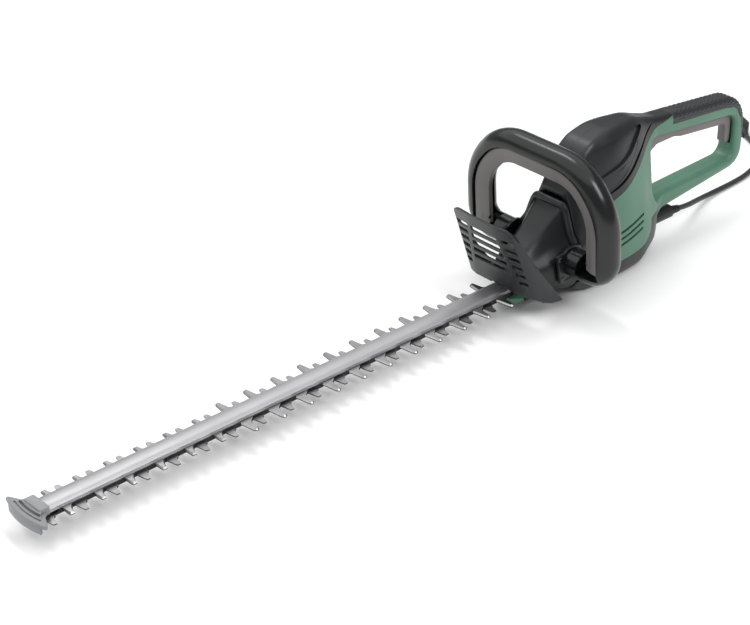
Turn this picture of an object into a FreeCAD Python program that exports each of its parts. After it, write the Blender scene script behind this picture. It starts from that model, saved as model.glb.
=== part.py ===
"""Electric hedge trimmer: double-action blades on a bar, gear head, motor body, two handles and a short lead.

Millimetres. X runs from the tip (-) to the rear handle (+), Y is across the tool, Z is up.
The origin is on the ground, under the middle of the tool's length and width.
"""
import FreeCAD, Part
import math
import os

Vec = FreeCAD.Vector
os.makedirs("parts", exist_ok=True)

# ---- driving dimensions -------------------------------------------------------------------------
blade_reach = 691.5         # tip of the bar to the front of the gear head
rear_x = 571.5              # back of the rear handle
head_x = 150.0              # front face of the gear head
blade_z = 26.0              # plane where the two blades slide on each other
fit_gap = 0.3               # gap between a moving piece and what it passes
seat_gap = 0.1              # gap between pieces that are screwed together face to face

# cutter
tooth_pitch = 40.0
blade_thick = 2.8
blade_travel = 10.0         # each blade, each way from the middle of its stroke
teeth_per_side = 17
short_teeth = 6             # angular teeth at the tip of the upper blade
spine_half = 13.0           # half width of a blade without its teeth
lower_tooth_reach = 28.7
short_tooth_reach = 27.5
long_tooth_reach = 36.5
bar_half = 12.5
bar_high = 8.0
bolt_r = 3.9
bolt_head_r = 7.0
bolt_head_high = 3.0
bolt_count = 5
tip_guard_half = 36.0
tip_guard_deep = 27.0
neck_deep = 13.0              # how far the tip guard's neck reaches along the bar

# drive
gear_module = 1.25
gear_teeth = 60
pinion_teeth = 12
pressure_angle = 25.0
gear_face = 8.0
pinion_extra = 2.0
eccentric_thick = 3.0
rod_thick = 3.0
rod_ring_wall = 4.0
rod_length = 62.0
rod_eye_r = 7.5
crank_pin_r = 3.0
hub_r = 6.5
axle_r = 4.0
bush_wall = 1.2
run_fit = 0.05              # radial running clearance

# motor
motor_x = 295.0
armature_r = 21.0
armature_high = 42.0
air_gap = 0.8
field_r = 37.0
shaft_r = 4.0
bearing_r = 11.0
bearing_high = 7.0
fan_r = 34.0
fan_high = 10.0
commutator_r = 11.0
commutator_high = 14.0

# body
wall = 2.6
body_half = 52.0            # widest half width of the body
plate_half = 50.0           # outer face of the side plates
plate_thick = 4.0
plate_rim = 2.5             # flange of the side plates round the front handle
top_z = 199.0               # crown of the motor cover
head_bottom = 14.0

# rear handle
handle_half = 15.0
handle_round = 8.0
strut_low_z = 61.0
strut_high_z = 75.0
grip_front_x = 421.0
grip_slope = 0.113          # the handle's top falls this much for each unit to the rear
grip_top_z = 182.0          # top of the handle where it leaves the body
grip_x0 = 390.0
grip_depth = 27.6           # depth of the handle's top bar
grip_thick = 2.4            # soft grip on the handle's top
grip_side = 1.6             # soft grip on the handle's sides
rear_bar = 18.5             # depth of the handle's rear bar
opening_front_x = 379.0

# front handle
hoop_r = 18.0
hoop_half = 104.0           # centre line of the hoop's sides
hoop_base_x = 203.0
hoop_base_z = 62.0
hoop_lean = 4.0             # degrees, top towards the blade
hoop_rise = 130.0           # along the leaning hoop, from its stubs to its crown
hoop_side = 82.0            # where the sides turn in to the shoulders
hoop_crown_half = 63.0
side_bend_r = 80.0
crown_bend_r = 62.0
lever_half = 6.5            # half width of the rear switch lever

# supply lead
cord_d = 7.0
relief_length = 30.0
outlet_r = 10.5             # boss on the base that the strain relief sits in

# switch levers; the front one is given along the hoop's own plane: rearward, inwards and upwards
lever_pin_r = 2.5
lever_front = -15.0
lever_back = -4.0
lever_outer = 1.0
lever_inner = 23.0
lever_foot = 6.0
pivot_n = -9.5
pivot_s = 14.0
pivot_inset = 12.0           # from the hoop's side line in to the middle of each lever pin
pivot_y = hoop_half - pivot_inset
lever_spring_r = 4.4
lever_spring_wide = 4.0
lever_spring_inset = 1.0     # inner end of each lever spring, in from the middle of its pin
lever_spring_room = 2.0      # free room past the outer end of each lever spring
pin_half = 12.0              # half length of those pins
front_switch_s = 54.0
lever_pivot_x = 393.0
lever_pivot_z = 153.0
lever_foot_z = 96.0          # lower end of the rear lever's leg
spring_x = 480.0
switch_x = lever_pivot_x + 40.0

# hand guard: bend lines and outer edges given at two heights, straight between them
guard_thick = 3.0
guard_low_z = 18.0
guard_high_z = 140.0
guard_half = 57.0
guard_lean = 0.375          # the front facet's step back for each unit down
guard_top_x = 89.0

# side plates over the front handle's stubs: outline and screws as (x, z) points
plate_outline = [(176.0, 76.0), (217.5, 80.0), (217.5, 37.0), (183.0, 36.0)]
plate_screws = [(181.0, 71.0), (187.0, 41.0)]


# ---- helpers -------------------------------------------------------------------------------------
def box(x0, x1, y0, y1, z0, z1):
    return Part.makeBox(x1 - x0, y1 - y0, z1 - z0, Vec(x0, y0, z0))


def disc(r, high, x, y, z):
    return Part.makeCylinder(r, high, Vec(x, y, z))


def rod_y(r, y0, y1, x, z):
    return Part.makeCylinder(r, y1 - y0, Vec(x, y0, z), Vec(0, 1, 0))


def rod_x(r, x0, x1, y, z):
    return Part.makeCylinder(r, x1 - x0, Vec(x0, y, z), Vec(1, 0, 0))


def mirror(shape):
    return shape.mirror(Vec(0, 0, 0), Vec(0, 1, 0))


def fuse(shapes):
    out = shapes[0]
    if len(shapes) > 1:
        out = shapes[0].multiFuse(shapes[1:])
    return out.removeSplitter()


def rounded(points, radii):
    """Closed outline through the points, each corner an arc of its radius (0 keeps it sharp)."""
    edges = []
    ends = []
    n = len(points)
    for i in range(n):
        p = points[i]
        to_prev = points[i - 1].sub(p)
        to_next = points[(i + 1) % n].sub(p)
        r = radii[i]
        if r == 0:
            ends.append((p, None, p))
            continue
        half = to_prev.getAngle(to_next) / 2.0
        cut = r / math.tan(half)
        to_prev.normalize()
        to_next.normalize()
        middle = to_prev.add(to_next)
        middle.normalize()
        start = p + to_prev * cut
        end = p + to_next * cut
        crown = p + middle * (r / math.sin(half) - r)
        ends.append((start, crown, end))
    for i in range(n):
        start, crown, end = ends[i]
        if crown is not None:
            edges.append(Part.Arc(start, crown, end).toShape())
        following = ends[(i + 1) % n][0]
        if end.distanceToPoint(following) > 1e-6:
            edges.append(Part.LineSegment(end, following).toShape())
    return Part.Wire(edges)


def side_prism(points, radii, y0, y1):
    """Prism across the tool from an outline of (x, z) points."""
    wire = rounded([Vec(x, y0, z) for x, z in points], radii)
    return Part.Face(wire).extrude(Vec(0, y1 - y0, 0))


def plan_prism(points, radii, z0, z1):
    """Upright prism from an outline of (x, y) points."""
    wire = rounded([Vec(x, y, z0) for x, y in points], radii)
    return Part.Face(wire).extrude(Vec(0, 0, z1 - z0))


def section_wire(x, half_points, inset=0.0):
    """Symmetric closed section across the tool at x, from (half width, z) points, bottom first."""
    low = half_points[0][1]
    high = half_points[-1][1]
    middle = (low + high) / 2.0
    right = []
    for w, z in half_points:
        shift = inset * (middle - z) / (high - low) * 2.0
        right.append((max(w - inset, 1.0), z + shift))
    points = [Vec(x, w, z) for w, z in right]
    points += [Vec(x, -w, z) for w, z in reversed(right)]
    return Part.makePolygon(points + [points[0]])


def loft_body(stations, inset=0.0):
    wires = [section_wire(x, pts, inset) for x, pts in stations]
    return Part.makeLoft(wires, True, True)


def save(name, shape):
    shape.exportStep("parts/%s.step" % name)
    print(name, len(shape.Solids), round(shape.Volume / 1000.0, 2))


# ---- places worked out from the driving dimensions ----------------------------------------------
tip_x = head_x - blade_reach - 30.0
lower_top = blade_z - seat_gap
lower_bottom = lower_top - blade_thick
upper_bottom = blade_z + seat_gap
upper_top = upper_bottom + blade_thick
bar_bottom = upper_top + fit_gap
bar_x0 = tip_x + tip_guard_deep - neck_deep + 3.0
bar_x1 = head_x + 20.0
upper_first = tip_x + 42.5
lower_first = tip_x + 20.5
slot_half = bolt_r + fit_gap
bolt_pitch = tooth_pitch * 3.5
bolt_xs = [head_x - 60.0 - bolt_pitch * i for i in range(bolt_count)]

gear_x = motor_x - gear_module * (gear_teeth + pinion_teeth) / 2.0
axle_hole_r = axle_r + run_fit
hub_bore = axle_hole_r + bush_wall
ring_r = blade_travel * math.sqrt(2.0) + hub_r + 0.5
crank_x = gear_x - math.sqrt(rod_length ** 2 - blade_travel ** 2)
tail_x = crank_x + 9.0
lower_rod_top = lower_bottom - fit_gap
lower_rod_bottom = lower_rod_top - rod_thick
lower_ecc_top = lower_rod_bottom - fit_gap
lower_ecc_bottom = lower_ecc_top - eccentric_thick
upper_rod_bottom = upper_top + fit_gap
upper_rod_top = upper_rod_bottom + rod_thick
upper_ecc_bottom = upper_rod_top + fit_gap
upper_ecc_top = upper_ecc_bottom + eccentric_thick
gear_z0 = upper_ecc_top + 1.0
gear_z1 = gear_z0 + gear_face
plate_z0 = gear_z1 + 3.0
plate_z1 = plate_z0 + bearing_high + 2.0
fan_z0 = plate_z1 + 4.0
field_z0 = fan_z0 + fan_high + 8.0
field_high = armature_high + 8.0
armature_z0 = field_z0 + 4.0
commutator_z0 = armature_z0 + armature_high + 16.0
top_bearing_z0 = commutator_z0 + commutator_high + 6.0
shaft_z1 = top_bearing_z0 + bearing_high + 2.0


axle_foot_z = 6.0
post_top_z = lower_ecc_bottom - 1.0


# ---- cutter ----------------------------------------------------------------------------------------
def tooth(x, reach, base_front, tip_wide, base_back, z0):
    """One tooth on the right-hand side: x is the front corner of its tip."""
    root = spine_half - 1.0
    points = [(x - base_front, root), (x, reach), (x + tip_wide, reach), (x + tip_wide + base_back, root)]
    return plan_prism(points, [0, 0, 0, 0], z0, z0 + blade_thick)


def long_tooth(x, z0):
    """A long tooth with a round tip."""
    root = spine_half - 1.0
    points = [(x - 4.0, root), (x, long_tooth_reach), (x + 7.0, long_tooth_reach), (x + 13.0, root)]
    return plan_prism(points, [0, 3.0, 3.0, 0], z0, z0 + blade_thick)


def blade_slots(z0):
    slots = []
    for x in bolt_xs:
        for end in (-blade_travel, blade_travel):
            slots.append(disc(slot_half, blade_thick, x + end, 0, z0))
        slots.append(box(x - blade_travel, x + blade_travel, -slot_half, slot_half, z0, z0 + blade_thick))
    return slots


def blade(z0, front, teeth):
    tail_from = head_x - 12.0
    body = [box(front, tail_from + 1.0, -spine_half, spine_half, z0, z0 + blade_thick),
            box(tail_from, tail_x, -9.0, 9.0, z0, z0 + blade_thick)]
    for t in teeth:
        body += [t, mirror(t)]
    cuts = blade_slots(z0) + [disc(crank_pin_r, blade_thick, crank_x, 0, z0)]
    return fuse(body).cut(fuse(cuts))


def upper_blade():
    teeth = []
    for i in range(teeth_per_side):
        x = upper_first + tooth_pitch * i
        if i < short_teeth:
            teeth.append(tooth(x, short_tooth_reach, 0.5, 6.0, 6.0, upper_bottom))
        else:
            teeth.append(long_tooth(x, upper_bottom))
    return blade(upper_bottom, upper_first - 6.0, teeth)


def lower_blade():
    teeth = []
    for i in range(teeth_per_side):
        x = lower_first + tooth_pitch * i
        teeth.append(tooth(x, lower_tooth_reach, 3.0, 5.0, 6.0, lower_bottom))
    return blade(lower_bottom, lower_first - 4.0, teeth)


def crank_pin(blade_z0, rod_z0, head_z0):
    """Shouldered pin riveted in a blade's tail, with a flat head outside the rod's eye."""
    low = min(blade_z0, rod_z0)
    high = max(blade_z0 + blade_thick, rod_z0 + rod_thick)
    shank = disc(crank_pin_r, high - low + fit_gap, crank_x, 0, min(low, head_z0 + 1.2))
    head = disc(crank_pin_r + 2.2, 1.2, crank_x, 0, head_z0)
    return fuse([shank, head])


def upper_pin():
    return crank_pin(upper_bottom, upper_rod_bottom, upper_rod_top + fit_gap)


def lower_pin():
    return crank_pin(lower_bottom, lower_rod_bottom, lower_rod_bottom - fit_gap - 1.2)


def support_bar():
    side_z = bar_bottom + 3.5
    left = Vec(bar_x0, -bar_half, side_z)
    right = Vec(bar_x0, bar_half, side_z)
    crown = Part.Arc(right, Vec(bar_x0, 0, bar_bottom + bar_high), left).toShape()
    foot_left = Vec(bar_x0, -bar_half, bar_bottom)
    foot_right = Vec(bar_x0, bar_half, bar_bottom)
    sides = [Part.LineSegment(left, foot_left).toShape(),
             Part.LineSegment(foot_left, foot_right).toShape(),
             Part.LineSegment(foot_right, right).toShape()]
    bar = Part.Face(Part.Wire([crown] + sides)).extrude(Vec(bar_x1 - bar_x0, 0, 0))
    holes = [disc(bolt_r - 1.2, 5.0, x, 0, bar_bottom) for x in bolt_xs]
    return bar.cut(fuse(holes))


def blade_bolts():
    bolts = []
    head_top = lower_bottom - fit_gap
    for x in bolt_xs:
        shank = disc(bolt_r, bar_bottom - head_top, x, 0, head_top)
        thread = disc(bolt_r - 1.2, 5.0, x, 0, bar_bottom)
        head = disc(bolt_head_r, bolt_head_high, x, 0, head_top - bolt_head_high)
        socket = disc(2.6, 1.6, x, 0, head_top - bolt_head_high)
        bolts.append(fuse([shank, thread, head]).cut(socket))
    return Part.makeCompound(bolts)


def tip_guard():
    """Crescent over the blade tips, with a lip down its front edge and a neck round the bar."""
    z0 = upper_top + fit_gap
    back = tip_x + tip_guard_deep
    front_arc = Part.Arc(Vec(tip_x + 8.0, -tip_guard_half, z0), Vec(tip_x, 0, z0),
                         Vec(tip_x + 8.0, tip_guard_half, z0)).toShape()
    outline = [Vec(tip_x + 8.0, tip_guard_half, z0), Vec(tip_x + 13.0, tip_guard_half, z0),
               Vec(back - 8.0, bar_half + 2.5, z0), Vec(back, bar_half + 2.5, z0),
               Vec(back, -bar_half - 2.5, z0), Vec(back - 8.0, -bar_half - 2.5, z0),
               Vec(tip_x + 13.0, -tip_guard_half, z0), Vec(tip_x + 8.0, -tip_guard_half, z0)]
    sides = [Part.LineSegment(outline[i], outline[i + 1]).toShape() for i in range(len(outline) - 1)]
    fan = Part.Face(Part.Wire([front_arc] + sides)).extrude(Vec(0, 0, 5.0))
    neck = box(back - neck_deep, back, -bar_half - 2.5, bar_half + 2.5, z0, bar_bottom + bar_high + 2.0)
    lip_low = lower_bottom - 2.0
    inner = fan.copy()
    inner.translate(Vec(3.2, 0, 0))
    lip = fan.cut(inner).common(box(tip_x - 1, tip_x + 14, -29, 29, z0, z0 + 5.0))
    lip_face = [f for f in lip.Faces if abs(f.normalAt(0, 0).z + 1) < 1e-6][0]
    lip_solid = lip_face.extrude(Vec(0, 0, lip_low - z0))
    bar_room = box(bar_x0, back + 1, -bar_half - seat_gap, bar_half + seat_gap, z0 - 1,
                   bar_bottom + bar_high + seat_gap)
    return fuse([fan, neck, lip_solid]).cut(bar_room)


# ---- drive -----------------------------------------------------------------------------------------
def involute_gear(teeth, thick, x, z0, bore, first_angle, slack=0.05):
    """Spur gear with involute flanks; first_angle is where the middle of its first tooth points."""
    pitch_r = gear_module * teeth / 2.0
    base_r = pitch_r * math.cos(math.radians(pressure_angle))
    tip_r = pitch_r + gear_module * 0.9
    root_r = pitch_r - gear_module * 1.2
    start_r = max(base_r, root_r)

    def flank_angle(r):
        """Half the angle that a tooth fills at radius r."""
        a = math.acos(min(base_r / r, 1.0))
        at_pitch = math.radians(pressure_angle)
        spread = (math.tan(at_pitch) - at_pitch) - (math.tan(a) - a)
        return math.pi / (2.0 * teeth) - slack / pitch_r + spread

    steps = 4
    radii = [start_r + (tip_r - start_r) * k / steps for k in range(steps + 1)]
    points = []
    for i in range(teeth):
        middle = first_angle + 2.0 * math.pi * i / teeth
        low = flank_angle(start_r)
        side = [(root_r, -low)] if root_r < start_r - 0.01 else []
        side += [(r, -flank_angle(r)) for r in radii]
        side += [(r, -a) for r, a in reversed(side)]
        for r, a in side:
            points.append(Vec(x + r * math.cos(middle + a), r * math.sin(middle + a), z0))
    wheel = Part.Face(Part.makePolygon(points + [points[0]])).extrude(Vec(0, 0, thick))
    return wheel.cut(disc(bore, thick, x, 0, z0))


def drive_gear():
    """Spur gear on a long hub, lightened by six round holes."""
    hub_low = lower_ecc_bottom
    bore = hub_bore
    wheel = involute_gear(gear_teeth, gear_face, gear_x, gear_z0, bore, 0.0)
    hub = disc(hub_r, gear_z1 - hub_low, gear_x, 0, hub_low)
    hub = hub.cut(disc(bore, gear_z1 - hub_low, gear_x, 0, hub_low))
    pitch_r = gear_module * gear_teeth / 2.0
    ring = (hub_r + pitch_r) / 2.0
    holes = []
    for i in range(6):
        a = math.radians(30.0 + 60.0 * i)
        holes.append(disc(6.0, gear_face, gear_x + ring * math.cos(a), ring * math.sin(a), gear_z0))
    return fuse([wheel, hub]).cut(fuse(holes))


def eccentric(side, z0):
    """Disc set off the gear's axis by the blade's travel, pressed on the hub."""
    plate = disc(ring_r - 0.3, eccentric_thick, gear_x, side * blade_travel, z0)
    return plate.cut(disc(hub_r, eccentric_thick, gear_x, 0, z0))


def upper_eccentric():
    return eccentric(1.0, upper_ecc_bottom)


def lower_eccentric():
    return eccentric(-1.0, lower_ecc_bottom)


def gear_bush():
    high = gear_z1 - lower_ecc_bottom
    bush = disc(hub_bore, high, gear_x, 0, lower_ecc_bottom)
    return bush.cut(disc(axle_hole_r, high, gear_x, 0, lower_ecc_bottom))


def gear_axle():
    return disc(axle_r, plate_z1 - axle_foot_z, gear_x, 0, axle_foot_z)


def connecting_rod(side, z0):
    """Rod from a blade's crank pin to the ring that its eccentric turns in."""
    y = side * blade_travel
    ring = disc(ring_r + rod_ring_wall, rod_thick, gear_x, y, z0)
    eye = disc(rod_eye_r, rod_thick, crank_x, 0, z0)
    along = Vec(gear_x - crank_x, y, 0)
    along.normalize()
    across = Vec(-along.y, along.x, 0) * 5.0
    start = Vec(crank_x, 0, z0)
    end = Vec(gear_x, y, z0) - along * (ring_r + rod_ring_wall / 2.0)
    corners = [start + across, end + across, end - across, start - across]
    arm = Part.Face(Part.makePolygon(corners + [corners[0]])).extrude(Vec(0, 0, rod_thick))
    bores = fuse([disc(ring_r, rod_thick, gear_x, y, z0),
                  disc(crank_pin_r + run_fit, rod_thick, crank_x, 0, z0)])
    return fuse([ring, eye, arm]).cut(bores)


def upper_rod():
    return connecting_rod(1.0, upper_rod_bottom)


def lower_rod():
    return connecting_rod(-1.0, lower_rod_bottom)


def gear_plate():
    """Metal plate over the gears: it carries the gear's axle and the motor's lower bearing."""
    front = gear_x - 60.0
    back = motor_x + 34.0
    points = [(front, -29.0), (front + 34.0, -43.0), (back, -41.0), (back, 41.0), (front + 34.0, 43.0),
              (front, 29.0)]
    plate = plan_prism(points, [8, 10, 10, 10, 10, 8], plate_z0, plate_z1)
    seat = disc(bearing_r, bearing_high, motor_x, 0, plate_z1 - bearing_high)
    shaft = disc(shaft_r + 2.0, plate_z1 - plate_z0, motor_x, 0, plate_z0)
    axle = disc(axle_r, plate_z1 - plate_z0, gear_x, 0, plate_z0)
    return plate.cut(fuse([seat, shaft, axle]))


# ---- motor -----------------------------------------------------------------------------------------
def armature_shaft():
    return disc(shaft_r, shaft_z1 - gear_z0 + 1.0, motor_x, 0, gear_z0 - 1.0)


def pinion():
    middle = math.pi / pinion_teeth + math.pi
    return involute_gear(pinion_teeth, gear_face + pinion_extra, motor_x, gear_z0 - 1.0, shaft_r, middle)


def armature_core():
    core = disc(armature_r, armature_high, motor_x, 0, armature_z0)
    slots = [disc(shaft_r, armature_high, motor_x, 0, armature_z0)]
    for i in range(12):
        a = math.radians(30.0 * i)
        slot = box(armature_r - 7.0, armature_r + 1.0, -1.2, 1.2, armature_z0, armature_z0 + armature_high)
        slot.rotate(Vec(0, 0, 0), Vec(0, 0, 1), math.degrees(a))
        slot.translate(Vec(motor_x, 0, 0))
        slots.append(slot)
    return core.cut(fuse(slots))


def armature_windings():
    """The winding's ends, a torus-like bundle below and above the core."""
    rings = []
    for z0 in (armature_z0 - 9.0, armature_z0 + armature_high):
        ring = disc(armature_r - 2.0, 9.0, motor_x, 0, z0).cut(disc(shaft_r, 9.0, motor_x, 0, z0))
        rings.append(ring)
    return Part.makeCompound(rings)


def commutator():
    body = disc(commutator_r, commutator_high, motor_x, 0, commutator_z0)
    return body.cut(disc(shaft_r, commutator_high, motor_x, 0, commutator_z0))


def cooling_fan():
    """Radial fan: a disc with curved-back vanes on a hub."""
    plate = disc(fan_r, 1.6, motor_x, 0, fan_z0)
    hub = disc(shaft_r + 4.0, fan_high, motor_x, 0, fan_z0)
    vanes = []
    for i in range(12):
        vane = box(shaft_r + 7.0, fan_r - 1.0, -0.8, 0.8, fan_z0, fan_z0 + fan_high)
        vane.rotate(Vec(shaft_r + 7.0, 0, 0), Vec(0, 0, 1), 24.0)
        vane.rotate(Vec(0, 0, 0), Vec(0, 0, 1), 30.0 * i)
        vane.translate(Vec(motor_x, 0, 0))
        vanes.append(vane)
    rim = disc(fan_r, fan_high, motor_x, 0, fan_z0)
    solid = fuse([plate, hub] + vanes).common(rim)
    return solid.cut(disc(shaft_r, fan_high, motor_x, 0, fan_z0))


def bearing_ring(z0):
    ring = disc(bearing_r, bearing_high, motor_x, 0, z0)
    return ring.cut(disc(shaft_r + run_fit, bearing_high, motor_x, 0, z0))


def motor_bearings():
    return Part.makeCompound([bearing_ring(plate_z1 - bearing_high), bearing_ring(top_bearing_z0)])


def field_core():
    """Laminated ring with two pole shoes close round the armature."""
    ring = disc(field_r, field_high, motor_x, 0, field_z0)
    bore = disc(armature_r + air_gap, field_high, motor_x, 0, field_z0)
    room = disc(field_r - 5.0, field_high, motor_x, 0, field_z0)
    poles = box(motor_x - 17.0, motor_x + 17.0, -field_r, field_r, field_z0, field_z0 + field_high)
    body = ring.cut(room.cut(poles))
    return body.cut(bore)


def field_coils():
    coils = []
    for side in (-1, 1):
        x0 = motor_x + side * (armature_r + 3.0) - 3.0
        coils.append(box(x0, x0 + 5.5, -14.0, 14.0, field_z0 - 4.0, field_z0 + field_high + 4.0))
    return Part.makeCompound(coils)


def motor_frame():
    """Bridge that carries the upper bearing and the brush holders."""
    z0 = commutator_z0 - 8.0
    z1 = top_bearing_z0 + bearing_high
    points = [(motor_x - 34, -26), (motor_x + 34, -26), (motor_x + 34, 26), (motor_x - 34, 26)]
    block = plan_prism(points, [12, 12, 12, 12], z0, z1)
    room = disc(24.0, top_bearing_z0 - z0, motor_x, 0, z0)
    side_room = box(motor_x - 36, motor_x + 36, -10, 10, z0, top_bearing_z0 - 3.0)
    seat = disc(bearing_r, bearing_high, motor_x, 0, top_bearing_z0)
    return block.cut(fuse([room, side_room, seat]))


def brush_pair(inner, outer, half_y, half_z):
    z = commutator_z0 + commutator_high / 2.0
    parts = []
    for side in (-1, 1):
        a = motor_x + side * inner
        b = motor_x + side * outer
        parts.append(box(min(a, b), max(a, b), -half_y, half_y, z - half_z, z + half_z))
    return parts


def carbon_brushes():
    return Part.makeCompound(brush_pair(commutator_r + 0.1, commutator_r + 13.0, 3.0, 4.0))


def brush_holders():
    outer = brush_pair(commutator_r + 3.0, commutator_r + 19.0, 4.5, 5.5)
    inner = brush_pair(commutator_r + 3.0, commutator_r + 13.0, 3.0, 4.0)
    return Part.makeCompound([a.cut(b) for a, b in zip(outer, inner)])


# ---- body ------------------------------------------------------------------------------------------
# Cross sections of the body along the tool: (half width, height) points from the sole to the crown.
head_stations = [
    (head_x, [(20, 14), (27, 20), (31, 36), (30, 52), (24, 62), (9, 74)]),
    (176.0, [(24, 14), (33, 22), (41, 38), (38, 56), (27, 71), (12, 92)]),
    (207.0, [(26, 13), (39, 21), (49, 44), (46, 68), (34, 88), (17, 119)]),
    (218.0, [(27, 12), (41, 20), (51, 43), (49, 68), (36, 92), (20, 127)]),
]
body_stations = [
    (218.0, [(28, 10), (42, 18), (52, 46), (51, 68), (37, 94), (25, 124), (18, 136)]),
    (234.0, [(32, 4), (45, 15), (52, 48), (51, 72), (41, 104), (29, 142), (17, 166)]),
    (248.0, [(35, 1), (47, 14), (52, 50), (50, 78), (42, 112), (31, 155), (17, 184)]),
    (264.0, [(36, 0), (47, 14), (body_half, 50), (50, 85), (42, 125), (31, 168), (17, 193)]),
    (motor_x, [(36, 0), (47, 14), (body_half, 50), (49, 92), (40, 147), (29, 186), (14, top_z)]),
    (340.0, [(33, 0), (43, 12), (47, 50), (41, 95), (31, 150), (21, 189), (9, top_z - 2.0)]),
    (368.0, [(28, 9), (35, 20), (38, 52), (30, 95), (22, 150), (16, 181), (8, 189)]),
    (384.0, [(22, 16), (29, 27), (30, 56), (24, 95), (18, 150), (14, 178), (8, 184)]),
    (396.0, [(13, 30), (17, 38), (19, 58), (17, 95), (15, 150), (13, 175), (8, 181)]),
]
# The line between the green shells and the dark covers, and the one between the shells and the base.
green_line = [(210, 97), (240, 104), (272, 114), (299, 122), (326, 133), (352, 149), (372, 163), (386, 170)]
base_line = [(200, 24), (291, 27), (333, 28), (352, 34), (361, 46), (362, 60), (393, 63)]


def grip_z(x):
    return grip_top_z - (x - grip_x0) * grip_slope


def handle_outline(inset):
    """Rear handle seen from the side, its outer edge moved in by inset."""
    points = [(375.0, grip_z(375.0) - inset), (rear_x - inset, grip_z(rear_x) - inset),
              (rear_x - inset, strut_low_z + inset), (375.0, 42.0 + inset)]
    return points, [0, 44.0 - inset, 28.0 - inset, 0]


def opening_outline(inset):
    """The hand opening seen from the side, its edge moved outwards by inset."""
    inner_rear = rear_x - rear_bar + inset
    top = grip_z(inner_rear) - grip_depth + inset
    front_top = grip_z(opening_front_x) - grip_depth + inset
    points = [(opening_front_x - inset, front_top), (inner_rear, top),
              (inner_rear, strut_high_z - inset), (opening_front_x - inset, strut_high_z - 4.0 - inset)]
    return points, [14.0 + inset, 18.0 + inset, 14.0 + inset, 22.0 + inset]


def handle_solid():
    points, radii = handle_outline(0.0)
    half = handle_half
    loop = side_prism(points, radii, -half, half)
    points, radii = opening_outline(0.0)
    solid = loop.cut(side_prism(points, radii, -half - 1, half + 1))
    edges = [e for e in solid.Edges if abs(e.BoundBox.YMin - e.BoundBox.YMax) < 0.01
             and e.BoundBox.XMax > 376.0]
    return solid.makeFillet(handle_round, edges)


def handle_cavity():
    """Room inside the rear handle, for its lever and switch."""
    points, radii = handle_outline(grip_thick + wall)
    half = handle_half - grip_side - wall + 0.4
    loop = side_prism(points, radii, -half, half)
    points, radii = opening_outline(wall)
    return loop.cut(side_prism(points, radii, -half - 1, half + 1))


def below(line, far_z, y0, y1, x_end=None):
    """Prism of everything between a line of (x, z) points and the height far_z."""
    last = x_end if x_end is not None else line[-1][0]
    points = [Vec(x, y0, z) for x, z in line] + [Vec(last, y0, line[-1][1])] * (x_end is not None)
    points += [Vec(last, y0, far_z), Vec(line[0][0], y0, far_z)]
    return Part.Face(Part.makePolygon(points + [points[0]])).extrude(Vec(0, y1 - y0, 0))


def opening_room():
    points, radii = opening_outline(0.0)
    return side_prism(points, radii, -80, 80)


def body_skin():
    """The whole body's wall, before it is shared out between its covers."""
    outer = fuse([loft_body(body_stations).cut(opening_room()), handle_solid()])
    inner_body = loft_body(body_stations, wall)
    points, radii = opening_outline(wall)
    inner_body = inner_body.cut(side_prism(points, radii, -80, 80))
    return outer.cut(fuse([inner_body, handle_cavity()]))


def halves(shape):
    right = shape.common(box(100, 600, 0, 90, -5, 230))
    left = shape.common(box(100, 600, -90, 0, -5, 230))
    return left, right


def lever_room():
    """Slot in the handle's underside and rear wall for the rear switch lever."""
    x0 = opening_front_x - 6.0
    x1 = rear_x - rear_bar + 4.0
    half = lever_half + 0.8
    roof = grip_depth - 10.0
    points = [(x0, 100.0), (x1, 100.0), (x1, grip_z(x1) - roof), (x0, grip_z(x0) - roof)]
    slot = side_prism(points, [0, 0, 0, 0], -half, half)
    tail = box(x1 - 14.0, x1, -half, half, lever_foot_z - 4.0, 110.0)
    return fuse([slot, tail])


def stub_room():
    """Room in the covers for the front handle's stubs and their flanges."""
    rooms = []
    for side in (-1, 1):
        y0 = side * (plate_half - plate_thick)
        y1 = side * 70.0
        rooms.append(rod_y(hoop_r + plate_rim, min(y0, y1), max(y0, y1), hoop_base_x, hoop_base_z))
    return fuse(rooms)


def outlet_boss():
    """Boss on the back of the base, where the lead's sleeve comes out."""
    back = relief_back()
    return rod_x(outlet_r, 384.0, back.x + 4.0, back.y, back.z)


def axle_post():
    """Post in the base that holds the lower end of the gear's axle."""
    post = disc(8.0, post_top_z - 1.0, gear_x, 0, 1.0)
    return post.cut(disc(axle_r, post_top_z, gear_x, 0, axle_foot_z))


def split_body():
    skin = body_skin()
    base_cut = below(base_line, -10.0, -90, 90)
    dark_cut = below(green_line + [(grip_front_x, 176.0)], 230.0, -90, 90)
    base = fuse([skin.common(base_cut), axle_post(), outlet_boss()]).cut(strain_relief())
    rest = skin.cut(fuse([base_cut, outlet_boss()]))
    cover = rest.common(dark_cut)
    shells = rest.cut(dark_cut)
    return base, cover, shells


def grip_region():
    """Where the soft grip covers the handle: its top and round its rear corner."""
    low = [(grip_front_x, grip_z(grip_front_x) - 14.0), (525.0, grip_z(525.0) - 13.0),
           (548.0, grip_z(548.0) - 15.0), (562.0, 128.0), (566.0, 100.0), (567.0, 62.0)]
    return below(low, 240.0, -90, 90, x_end=600.0)


def rear_grip_from(shells):
    core_points, core_radii = handle_outline(grip_thick)
    core = side_prism(core_points, core_radii, -handle_half + grip_side, handle_half - grip_side)
    edges = [e for e in core.Edges if abs(e.BoundBox.YMin - e.BoundBox.YMax) < 0.01]
    core = core.makeFillet(handle_round - grip_side, edges)
    region = grip_region()
    grip = shells.common(region).cut(core)
    return grip, shells.cut(grip)


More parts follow.
